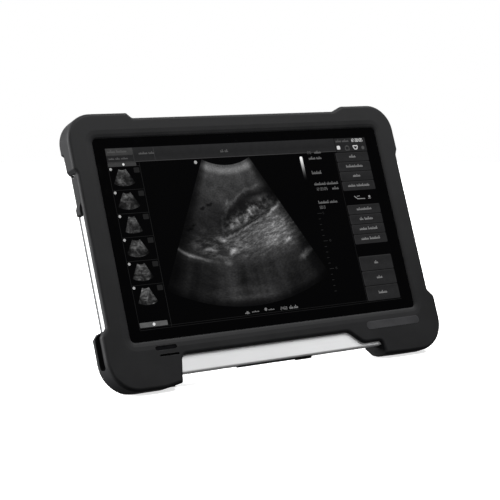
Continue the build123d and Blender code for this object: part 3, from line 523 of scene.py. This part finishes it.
# What lies in the sector. Bent lines are lists of points. Ovals are centre x and y, half axes, turn
# in degrees, and the light that they add or the share of it that they leave.
UPPER_HAZE = ((-47, 24, 16, 7, 20, 0.035),)
LEFT_TISSUE = ((-58, 6, 30, 26, -20, 0.73),)
VESSELS = ((-52, 20, 2.2, 1.0, 12, 0.5), (-45, 21.6, 2.6, 1.1, 12, 0.5),
           (-67, 4, 3.0, 1.2, 12, 0.5), (-63, 7, 1.8, 0.9, 12, 0.5))
KIDNEY = ((-7, 15.5, 33, 13.0, 25, 0.50),)
KIDNEY_SKIN = ((-38, -2), (-35, 9), (-27, 21), (-15, 29), (4, 36))
KIDNEY_CLUMPS = ((-28, 2.2, 5.5, 2.0, 14, 0.17), (-17, 9.0, 5.0, 2.2, 24, 0.15),
                 (-7, 14.5, 4.5, 2.0, 26, 0.13), (3, 26.0, 8.0, 2.2, 14, 0.10))
LOWER_SKIN = ((-38, -7), (-22, -2), (-6, 4), (10, 12), (27, 22))
SKIN_END = ((21, 18.5, 9.0, 2.2, 33, 0.20),)
STREAK_TURN = math.radians(21)
STREAK_GLOW = ((17, -2, 20, 10, 20, 0.07),)
SHADE_BEHIND = ((-74, -34, 24, 15, -18, 0.76),)
INTERFACE = ((-87, -6), (-81, -12.5), (-73, -17.5), (-64, -20.5), (-56, -23.5), (-47, -25))
BRIGHT_SPOTS = (
    (-31, -17.5, 4.2, 1.9, 28, 0.30), (-40, -7, 3.5, 2.0, -10, 0.18), (39, -24.5, 6.5, 2.4, 32, 0.30),
    (46, -20, 4.0, 1.6, 40, 0.14), (24, -11.5, 3.4, 1.8, 10, 0.24), (-52, -14, 4.5, 1.7, 6, 0.16),
    (-38, -27, 3.0, 2.0, 0, 0.14), (9, -11, 6.5, 3.0, 10, 0.12), (-29, 22.5, 3.0, 1.2, 50, 0.14),
)
DEEP_SHADE = ((34, -44, 26, 16, 20, 0.80),)
DEEP_SPOTS = (
    (-39, -40, 5, 15, 0, 0.05), (-27, -44, 4, 15, 0, -0.04), (12, -40, 6, 14, 0, 0.03),
    (-20, -57, 36, 7, 0, 0.045), (-24, -49, 16, 2.2, 0, 0.05), (-22, -56, 18, 2.2, 0, 0.05),
)


def echo_picture(name):
    """Grey-scale echoes in a curved sector: a kidney-like oval under even tissue, with a bright
    curved interface, streaks behind the oval and speckle along the scan lines."""
    p = lit(name)
    x, y, _ = p.xyz(p.mm)
    # positions are bent a little by noise, so that no edge is a clean curve
    warp = p.noise(0.13, 3, 0.6)
    warp_b = p.noise(0.13, 3, 0.6, at=p.vector("ADD", p.mm, (37, 91, 5)))
    at = (p.add(x, p.mul(warp, 7.0), -3.5), p.add(y, p.mul(warp_b, 7.0), -3.5))
    bent = (p.add(x, p.mul(warp, 2.0), -1.0), p.add(y, p.mul(warp_b, 2.0), -1.0))
    # radius and angle of the scan line, and noises that follow it
    px, py = p.add(x, -APEX[0]), p.calc("SUBTRACT", APEX[1], y)
    r = p.vector("LENGTH", p.join(px, py))
    angle = p.calc("ARCTAN2", px, py)
    beam = p.join(r, p.mul(angle, 62))
    speckle = p.noise(0.85, 3, 0.75, at=beam)
    blot = p.noise(0.16, 4, 0.6, at=beam)
    columns = p.noise(0.14, 2, 0.5, at=p.join(p.mul(r, 0.10), p.mul(angle, 95)))
    # even tissue, with a bright band under the transducer
    value = p.smooth(r, NEAR, FAR, 0.215, 0.165)
    value = p.mul(value, p.add(0.62, p.mul(blot, 0.76)))
    near_band = p.mul(p.smooth(r, NEAR + 0.5, NEAR + 4), p.smooth(r, NEAR + 10, NEAR + 5))
    value = p.add(value, p.mul(near_band, 0.17), p.mul(p.smooth(r, NEAR + 4, NEAR), 0.06))
    value = p.add(value, p.mul(p.smooth(r, NEAR + 22, NEAR + 8), 0.035))
    value = brighten(p, value, at, UPPER_HAZE)
    value = darken(p, value, at, LEFT_TISSUE, 0.35)
    value = darken(p, value, at, VESSELS, 0.9)
    # the oval: a dark rim around a bright middle, between two thin bright skins
    skin = trail(p, at, KIDNEY_SKIN, 2.2)
    value = p.add(value, p.mul(skin, 0.10, p.add(0.3, blot)))
    value = darken(p, value, at, KIDNEY, 0.35)
    middle = oval(p, at, -9, 13.6, 22, 5.0, 25, 0.9)
    clumps = p.smooth(p.noise(0.22, 3, 0.55), 0.40, 0.72)
    value = p.add(value, p.mul(middle, clumps, 0.34))
    value = brighten(p, value, at, KIDNEY_CLUMPS)
    value = p.add(value, p.mul(trail(p, at, LOWER_SKIN, 2.0), 0.22, p.add(0.25, blot)))
    value = brighten(p, value, at, SKIN_END)
    # streaks behind the oval, running up to the right
    c, s = math.cos(STREAK_TURN), math.sin(STREAK_TURN)
    along, across = p.add(p.mul(x, c), p.mul(y, s)), p.add(p.mul(x, -s), p.mul(y, c))
    streaks = p.noise(0.46, 5, 0.74, at=p.join(p.mul(along, 0.26), p.add(across, p.mul(warp, 3.0))))
    behind = oval(p, at, 15, 0, 42, 17, 14, 0.8)
    value = p.add(value, p.mul(behind, p.smooth(streaks, 0.38, 0.74), 0.32), p.mul(behind, 0.055))
    value = brighten(p, value, at, STREAK_GLOW)
    # layered tissue left of the streaks
    patch = oval(p, at, -42, -13, 24, 9.5, -12, 0.8)
    layers = p.noise(0.2, 4, 0.6, at=p.stretched(0.55, 1.5, 1))
    value = p.add(value, p.mul(patch, p.smooth(layers, 0.40, 0.72), 0.24))
    # the bright curved interface at the lower left, darker tissue behind it
    value = darken(p, value, at, SHADE_BEHIND, 0.6)
    fade = p.smooth(x, -88.0, -44.0, 1.0, 0.15)
    value = p.add(value, p.mul(trail(p, bent, INTERFACE, 2.2), fade, 0.42),
                  p.mul(trail(p, bent, INTERFACE, 6.0), fade, 0.07))
    value = brighten(p, value, at, BRIGHT_SPOTS, 0.8)
    # the deep part, in columns of light and shade
    deep = p.smooth(r, 122, 142)
    value = p.mul(value, p.add(1.0, p.mul(deep, p.add(-0.52, p.mul(columns, 0.80)))))
    value = darken(p, value, at, DEEP_SHADE, 0.9)
    value = brighten(p, value, at, DEEP_SPOTS)
    # soft sides and foot, and the speckle over everything
    edge = p.smooth(p.calc("ABSOLUTE", angle), HALF, HALF - 0.12, 0.42, 1.0)
    low_edge = p.smooth(r, FAR, FAR - 9, 0.45, 1.0)
    value = p.mul(value, edge, low_edge, p.add(0.52, p.mul(speckle, 0.98)))
    return show(p, value, (1.0, 1.0, 1.01))


def small_pictures(name):
    """Speckled echoes for the column of stored small pictures."""
    p = lit(name)
    x, y, _ = p.xyz(p.mm)
    echo = p.smooth(p.noise(0.20, 3, 0.6, 0.6), 0.36, 0.72)
    lines = p.smooth(p.noise(0.45, 2, 0.5, at=p.stretched(0.35, 1, 1)), 0.5, 0.72)
    # each picture's upper part is a little brighter
    local = p.calc("WRAP", p.add(y, -FIRST_PICTURE), 0.0, PICTURE_PITCH)
    top = p.smooth(local, 12.5, 15.5)
    value = p.add(0.13, p.mul(echo, 0.20), p.mul(lines, 0.12), p.mul(top, 0.07))
    side = p.smooth(p.calc("ABSOLUTE", p.add(x, 117.5)), 10.5, 4.0, 0.3, 1.0)
    return show(p, p.mul(value, side, p.add(0.6, p.mul(p.noise(0.9, 2, 0.7), 0.8))))


def fading_bar(name):
    """The grey scale bar: white at its top, black at its foot."""
    p = lit(name)
    _, y, _ = p.xyz(p.mm)
    rise = p.calc("POWER", p.smooth(y, 33.0, 59.5, 0.0, 1.0), 1.35)
    return show(p, p.mul(rise, p.add(0.9, p.mul(p.noise(1.5, 2), 0.2))))


# ------------------------------------------------------------------ the lit picture's shapes
DIGIT = {  # the strokes a to g of each number, named as on a counter
    "0": "abcdef", "1": "bc", "2": "abged", "3": "abgcd", "4": "fgbc", "5": "afgcd",
    "6": "afgedc", "7": "abc", "8": "abcdefg", "9": "abcdfg",
}


def digits(text, x, y, height):
    """Counter-style numbers as thin strokes; a point or colon is one or two dots."""
    shapes, w, t = [], height * 0.5, height * 0.14
    for mark in text:
        if mark in ".:":
            for dy in ((0.12,) if mark == "." else (0.25, 0.7)):
                shapes.append(disc(x + t, y + height * dy, t * 0.7, 8))
            x += t * 2.6
            continue
        ends = {
            "a": (x, y + height, x + w, y + height), "g": (x, y + height / 2, x + w, y + height / 2),
            "d": (x, y, x + w, y), "f": (x, y + height / 2, x, y + height),
            "e": (x, y, x, y + height / 2), "b": (x + w, y + height / 2, x + w, y + height),
            "c": (x + w, y, x + w, y + height / 2),
        }
        for key in DIGIT[mark]:
            shapes.append(stroke(*ends[key], t))
        x += w + height * 0.28
    return shapes


BAR_PITCH = 1.3         # mm, about one bar for each letter
BAR_TALL = (1.0, 0.66, 0.72, 1.12, 0.6, 0.8, 0.68)


def words(x, y, lengths, height, gap=1.0):
    """A line of small upright bars on thin dashes that stands for writing, grouped like words."""
    shapes = []
    foot = y - 0.6 * height
    for length in lengths:
        dash_foot, dash_top = foot + 0.1 * height, foot + 0.5 * height
        shapes.append(rounded_box(x, dash_foot, x + length, dash_top, 0.15 * height, 2))
        bars = max(2, round(length / BAR_PITCH))
        pitch = length / bars
        for k in range(bars):
            top = foot + 1.25 * height * BAR_TALL[(3 * bars + k) % len(BAR_TALL)]
            left, right = x + pitch * k, x + pitch * (k + 0.6)
            shapes.append([(left, foot), (right, foot), (right, top), (left, top)])
        x += length + gap
    return shapes


def centred(cx, y, lengths, height, gap):
    """A line of words around a middle."""
    total = sum(lengths) + gap * (len(lengths) - 1)
    return words(cx - total / 2, y, lengths, height, gap)


def frame_of(x0, y0, x1, y1, width):
    """Four strokes around a box."""
    return [stroke(x0, y0, x1, y0, width), stroke(x1, y0, x1, y1, width),
            stroke(x1, y1, x0, y1, width), stroke(x0, y1, x0, y0, width)]


def dark_display(name):
    """The lit area where it shows black: a faint cloud over faint pixel rows."""
    p = lit(name)
    cloud = p.noise(0.02, 2)
    rows = p.calc("PINGPONG", p.mul(p.xyz(p.mm)[1], 1 / HALF_ROW), 1.0)
    return show(p, p.add(0.008, p.mul(cloud, 0.018), p.mul(rows, 0.005)))


BAR = plain_light("bar_light", 0.165, 0.16, (1.0, 1.0, 1.03), -0.10)
BAR_EDGE = plain_light("bar_edge_light", 0.24, 0.10)
BUTTON_LIGHT = plain_light("button_light", 0.15, 0.18, (1.0, 1.0, 1.03), 0.10)
SEAM = plain_light("seam_light", 0.20, 0.12)
TEXT = plain_light("text_light", 0.50, 0.30)
DIM = plain_light("dim_light", 0.30, 0.15)
FAINT = plain_light("faint_light", 0.135, 0.2)
WHITE = plain_light("white_light", 0.84, 0.06)

# The display's layout, in mm: the left column with the stored pictures, the echo picture between
# the dividers, and the column of buttons.
LEFT, RIGHT_END = -129.0, 127.0
LEFT_DIVIDER, RIGHT_DIVIDER = -101.2, 90.4
COLUMN_TOP, COLUMN_FOOT = 60.4, -71.6
BUTTON_LEFT, BUTTON_RIGHT = 91.4, 126.4
PICTURE_DOTS = [FIRST_PICTURE - PICTURE_PITCH * k for k in range(6)]

flat_piece("screen_lit_area", [rounded_box(-129.5, -72.8, 127.5, 73.4, 0.4, 2)], 0,
           dark_display("display_off"))

# the bar along the top, with its tabs and icons
flat_piece("screen_top_bar", [rounded_box(LEFT, 61.2, 93.0, 73.0, 0.3, 2),
                              rounded_box(93.4, 60.6, 126.6, 72.8, 0.3, 2)], 1, BAR)
flat_piece("screen_lighter_tab", [rounded_box(-128.8, 67.5, -105.3, 72.8, 0.3, 2),
                                  rounded_box(LEFT, 58.0, -104.0, 61.0, 0.5, 3)], 2,
           plain_light("tab_light", 0.235, 0.3))
flat_piece("screen_bar_edges", [
    stroke(LEFT, 61.4, 93, 61.4, 0.45), stroke(LEFT, 67.2, -105.6, 67.2, 0.35),
    stroke(-105, 62, -105, 72.6, 0.3), stroke(-86, 62, -86, 72.6, 0.3)], 2, BAR_EDGE)
flat_piece("screen_tabs", words(-127.4, 70.2, [7, 9], 1.6) + words(-100, 68.0, [8, 5], 1.7)
           + words(-24, 66.6, [3.2, 3.2], 2.0) + words(-127.4, 64.4, [5, 4, 6], 1.2), 3, DIM)
icons = digits("12:30:05", 110.8, 69.3, 2.5) + [rounded_box(94.6, 62.8, 98.0, 66.2, 0.8, 3)]
icons += [stroke(112.0, 65.2, 113.4, 62.6, 0.7), stroke(113.4, 62.6, 115.8, 62.6, 0.7),
          stroke(115.8, 62.6, 117.0, 65.2, 0.7), stroke(112.0, 65.6, 117.0, 65.6, 0.8)]
flat_piece("screen_icons_bright", icons, 4, plain_light("icon_light", 0.80, 0.25))
flat_piece("screen_icons_soft", frame_of(103.6, 62.0, 107.4, 65.4, 0.5)
           + [stroke(104.6, 66.0, 106.4, 66.0, 0.5), disc(122.6, 63.6, 1.6, 14)]
           + words(94.6, 70.4, [6, 7], 1.8), 3, DIM)

# thin lines between the columns, under the picture and between the stored pictures
dividers = [stroke(LEFT_DIVIDER, COLUMN_FOOT, LEFT_DIVIDER, COLUMN_TOP, 0.35),
            stroke(-129.2, COLUMN_FOOT, -129.2, COLUMN_TOP, 0.3)]
dividers += [stroke(LEFT, dot + 1.9, -101.4, dot + 1.9, 0.3) for dot in PICTURE_DOTS]
dividers += [stroke(LEFT, -70.6, 92, -70.6, 0.3), stroke(LEFT, -72.2, RIGHT_END, -72.2, 0.25),
             stroke(RIGHT_DIVIDER, COLUMN_FOOT, RIGHT_DIVIDER, COLUMN_TOP, 0.25)]
flat_piece("screen_dividers", dividers, 1, FAINT)

# the column of stored small pictures, each with a dot and a tag
flat_piece("screen_picture_dots", [disc(-127.4, dot, 1.15) for dot in PICTURE_DOTS]
           + [disc(-49.6, 58.2, 1.4)], 3, plain_light("dot_light", 0.62, 0.1))
flat_piece("screen_marks_white", [disc(-115.4, 59.5, 1.0, 12), disc(-116.2, -68.4, 1.2, 12)], 4, WHITE)
flat_piece("screen_foot_bar", [rounded_box(-128.6, -70.2, -104.2, -66.4, 0.5, 3)], 1,
           plain_light("foot_bar_light", 0.34, 0.3))
flat_piece("screen_picture_tags", [rounded_box(-107.2, dot - 3.6, -102.2, dot + 0.6, 0.6, 3)
                                   for dot in PICTURE_DOTS], 1, FAINT)
bm_small = bmesh.new()
for dot, spread in zip(PICTURE_DOTS, (0.50, 0.52, 0.40, 0.54, 0.50, 0.46)):
    fan(bm_small, -117.4, dot + 5.5, 6.6, 19.6, spread, 8, 12)
finish_piece("screen_small_pictures", bm_small, small_pictures("small_picture_light"))

# the echo picture and its grey scale
bm_echo = bmesh.new()
fan(bm_echo, *APEX, NEAR, FAR, HALF, 40, 40)
finish_piece("screen_echo_picture", bm_echo, echo_picture("echo_light"))
flat_piece("screen_grey_scale", [rounded_box(53.3, 34.4, 56.0, 58.4, 1.2, 5)], 1,
           fading_bar("grey_scale_light"))

# buttons on the right, in three groups: top, foot, and the lengths of each button's words
BUTTON_GROUPS = ((60.2, 25.6, ([7], [18], [8], [8, 14])),
                 (13.2, -21.8, ([16], [4, 9], [8, 10], [8, 11])),
                 (-32.2, -71.4, ([4], [6], [9])))
plates, seams, marks = [], [], []
for group_top, group_foot, labels in BUTTON_GROUPS:
    step = (group_top - group_foot) / len(labels)
    for k, lengths in enumerate(labels):
        middle = group_top - step * (k + 0.5)
        top, foot = middle + step / 2, middle - step / 2
        plates.append(rounded_box(BUTTON_LEFT, foot + 0.22, BUTTON_RIGHT, top - 0.22, 0.9, 4))
        marks += centred(109.0, middle + 0.3, lengths, 1.9, 1.2)
        seams.append(stroke(BUTTON_LEFT + 0.8, top - 0.7, BUTTON_RIGHT - 0.8, top - 0.7, 0.3))
        seams.append(stroke(BUTTON_LEFT + 0.5, foot + 1.2, BUTTON_LEFT + 0.5, top - 1.2, 0.28))
flat_piece("screen_button_plates", plates, 1, BUTTON_LIGHT)
flat_piece("screen_button_seams", seams, 2, SEAM)
flat_piece("screen_button_marks", marks, 3, plain_light("button_mark_light", 0.43, 0.3))
flat_piece("screen_group_label", [
    stroke(101.4, 20.6, 104.6, 18.2, 0.7), stroke(104.6, 18.2, 112.6, 18.0, 0.65),
    stroke(104.2, 20.4, 107.4, 20.6, 0.45), disc(117.6, 19.6, 1.1, 12),
    stroke(116.0, 17.9, 118.8, 17.9, 0.45)], 3, TEXT)

# settings beside the picture, as rows of bars and plain numbers
SETTINGS_LEFT = 62.5
settings = digits("2.5", SETTINGS_LEFT, 60.4, 2.0) + words(69.5, 61.4, [7], 1.7)
settings += words(SETTINGS_LEFT, 56.4, [7, 5.5], 1.9) + words(SETTINGS_LEFT, 43.6, [10], 2.2)
settings += words(SETTINGS_LEFT, 33.6, [12, 12], 1.9) + digits("12:30:05", 63.0, 27.9, 2.3)
settings += words(80.0, 29.0, [7], 1.9) + words(SETTINGS_LEFT, 17.4, [11, 8], 1.9)
settings += digits("60.0", 63, 12.0, 2.2)
flat_piece("screen_settings", settings, 2, plain_light("settings_light", 0.36, 0.3))

# depth scale: every fifth tick is long and has a number
DEPTH_LEFT, DEPTH_TOP, DEPTH_STEP = 59.0, 8.0, 4.8
ticks = []
for k in range(15):
    y = DEPTH_TOP - DEPTH_STEP * k
    ticks.append(stroke(DEPTH_LEFT, y, DEPTH_LEFT + (4.5 if k % 5 == 0 else 2.2), y, 0.35))
    if k % 5 == 0:
        ticks += digits(str(k + 5), 64.6, y - 0.8, 1.7)
flat_piece("screen_depth_scale", ticks, 2, plain_light("depth_light", 0.17, 0.1))

# small controls under the picture
controls = words(-32.5, -68.6, [4.5], 1.1) + [disc(-30.2, -68.4, 1.2, 12), disc(-12.4, -67.4, 1.3, 12)]
controls += words(-26, -68.2, [7], 0.8) + words(-10, -68.0, [6], 0.8)
controls += digits("2468", 2.0, -69.4, 2.2) + words(10.6, -68.3, [4, 4], 2.0, 0.7)
flat_piece("screen_controls", controls, 2, plain_light("control_light", 0.42, 0.2))


# ------------------------------------------------------------------ small detail pieces
# a blank plate at the lower right of the bumper, proud of it by 0.12 mm
ENAMEL = rubber("nameplate_satin", (0.026, 0.026, 0.028), (0.040, 0.040, 0.042), 0.5, 4.0, wear=0.2)
bm_plate = bmesh.new()
prism(bm_plate, rounded_box(83.0, -95.2, 139.5, -88.4, 3.3, 8), -0.2, 0.12)
finish_piece("blank_nameplate", bm_plate, ENAMEL)

# the rear cover's grey seal, which shows as a thin line down the left side, in mm: from the lower
# corner up to the port cover's lip
SIDE_WALL = -156.8
SEAL_FOOT, SEAL_TOP = -79.0, 21.4
SEAL_BACK, SEAL_FRONT = -10.48, -9.1
SEAL = rubber("seal_grey", (0.085, 0.086, 0.09), (0.13, 0.131, 0.135), 0.6, 5.0, wear=0.2)
seal_out, seal_in = SIDE_WALL - 0.07, SIDE_WALL + 0.2
bm_seal = bmesh.new()
prism(bm_seal, [(seal_out, SEAL_FOOT), (seal_in, SEAL_FOOT), (seal_in, SEAL_TOP), (seal_out, SEAL_TOP)],
      SEAL_BACK, SEAL_FRONT)
finish_piece("rear_cover_seal", bm_seal, SEAL)


def open_ring(radius, width, count=14):
    """A ring of short strokes with a gap at its top, for the switch sign."""
    strokes = []
    for k in range(count):
        first, last = (math.radians(125 + 290 * (k + part) / count) for part in (0, 1.08))
        strokes.append(stroke(radius * math.cos(first), radius * math.sin(first),
                              radius * math.cos(last), radius * math.sin(last), width))
    return strokes


# plain printed marks on the side keys: a switch sign, a plus and a minus
PRINT = rubber("key_print", (0.34, 0.34, 0.34), (0.46, 0.46, 0.46), 0.5, 6.0, wear=0.1)
MINUS = stroke(-1.1, 0, 1.1, 0, 0.36)
KEY_MARKS = {
    "power_button": ("power_key", open_ring(1.25, 0.32) + [stroke(0, 0.25, 0, 1.6, 0.32)]),
    "volume_up_button": ("volume_up_key", [MINUS, stroke(0, -1.1, 0, 1.1, 0.36)]),
    "volume_down_button": ("volume_down_key", [MINUS]),
}
for node_name, (body, shapes) in KEY_MARKS.items():
    key_low, key_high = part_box(node_name)
    key_middle = SCREEN.inverted() @ ((key_low + key_high) / 2)
    face_x = key_high.x - ORIGIN.x
    # the mark's own Z looks out of the key, to the right
    on_side = SCREEN @ Matrix(((0, 0, 1, face_x), (0, 1, 0, key_middle.y),
                               (-1, 0, 0, key_middle.z), (0, 0, 0, 1)))
    bm_mark = bmesh.new()
    for outline in shapes:
        prism(bm_mark, outline, -0.06, 0.035)
    finish_piece(node_name + "_mark", bm_mark, PRINT, body, on_side)


# ------------------------------------------------------------------ stage, lights and camera
# In metres, in the row's frame, apart from the lens and the sensor.
CAMERA_PLACE = (-0.66385, -0.99242, 0.26210)
CAMERA_AIM = Vector((0.5510, 0.8226, -0.1401))
LENS, SENSOR = 104.8, 36.0      # mm
OBJECT_MIDDLE = Vector((0, 0, 0.1))
FLOOR_RADIUS = 2.1
FLOOR_GAP = 0.0002      # under the feet
CARD_DISTANCE = 0.85


def stage_object(name, bm, paint):
    """A floor or card, which isn't part of the object."""
    mesh = bpy.data.meshes.new(name)
    bm.to_mesh(mesh)
    bm.free()
    mesh.materials.append(paint.material)
    made = bpy.data.objects.new(name, mesh)
    bpy.context.scene.collection.objects.link(made)
    return made


def pale_floor():
    """White paper under the feet. It takes shadows, but throws no light up at the object."""
    paint = Paint("floor_paper", roughness=0.9, specular=0.1, Emission_Strength=0.7)
    paint.set("Emission Color", (1.0, 1.0, 1.0))
    paint.set("Base Color", paint.mix(paint.noise(0.004, 3), (0.90, 0.90, 0.90), (0.93, 0.93, 0.93)))
    bm = bmesh.new()
    bmesh.ops.create_circle(bm, cap_ends=True, segments=96, radius=FLOOR_RADIUS)
    floor = stage_object("floor", bm, paint)
    floor.location.z = -FLOOR_GAP
    floor.visible_diffuse = floor.visible_glossy = False


def black_card():
    """A card that only reflections see keeps the glass dark from the camera's side. It stands where
    the middle of the glass mirrors the camera's line of sight."""
    paint = Paint("card_black", roughness=1.0, specular=0.0)
    paint.set("Base Color", paint.mix(paint.noise(0.01), (0.004, 0.004, 0.004), (0.012, 0.012, 0.012)))
    bm = bmesh.new()
    bmesh.ops.create_grid(bm, x_segments=1, y_segments=1, size=0.5)
    card = stage_object("black_card", bm, paint)
    mirrored = CAMERA_AIM.reflect(OUT)
    card.location = ORIGIN + mirrored * CARD_DISTANCE
    card.rotation_euler = mirrored.to_track_quat("Z", "Y").to_euler()
    card.scale = (1.5, 1.2, 1)
    card.visible_camera = card.visible_diffuse = card.visible_shadow = False


def studio_world():
    """The room is brighter above than below, and only the camera sees a white backdrop."""
    world = bpy.data.worlds.new("studio")
    bpy.context.scene.world = world
    world.use_nodes = True
    nodes, link = world.node_tree.nodes, world.node_tree.links.new
    sky = nodes["Background"]
    sky.inputs["Color"].default_value = (1.0, 1.0, 1.0, 1)
    heading, split, room, seen, level = (nodes.new("ShaderNode" + kind) for kind in (
        "TexCoord", "SeparateXYZ", "MapRange", "LightPath", "MapRange"))
    # the room's strength by how far down or up a ray looks
    for socket, number in (("From Min", -0.25), ("From Max", 0.35), ("To Min", 0.12), ("To Max", 0.27)):
        room.inputs[socket].default_value = number
    level.inputs["To Max"].default_value = 1.0
    link(heading.outputs["Generated"], split.inputs[0])
    link(split.outputs["Z"], room.inputs["Value"])
    link(seen.outputs["Is Camera Ray"], level.inputs["Value"])
    link(room.outputs[0], level.inputs["To Min"])
    link(level.outputs[0], sky.inputs["Strength"])


def softbox(name, place, size, power):
    """A soft light that looks at the middle of the object."""
    light = bpy.data.lights.new(name, "AREA")
    light.shape = "RECTANGLE"
    light.size, light.size_y = size
    light.energy = power
    lamp = bpy.data.objects.new(name, light)
    lamp.location = place
    lamp.rotation_euler = (OBJECT_MIDDLE - Vector(place)).to_track_quat("-Z", "Y").to_euler()
    bpy.context.scene.collection.objects.link(lamp)


def photo_camera():
    """The camera at the photograph's place and angle."""
    optics = bpy.data.cameras.new("camera")
    optics.sensor_width = SENSOR
    optics.lens = LENS
    optics.clip_end = 60.0
    camera = bpy.data.objects.new("camera", optics)
    camera.location = CAMERA_PLACE
    camera.rotation_euler = CAMERA_AIM.to_track_quat("-Z", "Y").to_euler()
    bpy.context.scene.collection.objects.link(camera)
    bpy.context.scene.camera = camera
    bpy.context.scene.view_settings.view_transform = "Standard"


pale_floor()
black_card()
studio_world()
softbox("key_softbox", (1.1, -0.75, 2.2), (1.3, 1.2), 87)
softbox("rim_softbox", (-1.5, 0.55, 0.6), (1.0, 1.2), 95)
softbox("back_softbox", (0.9, 1.7, 1.1), (1.4, 1.2), 20)
photo_camera()
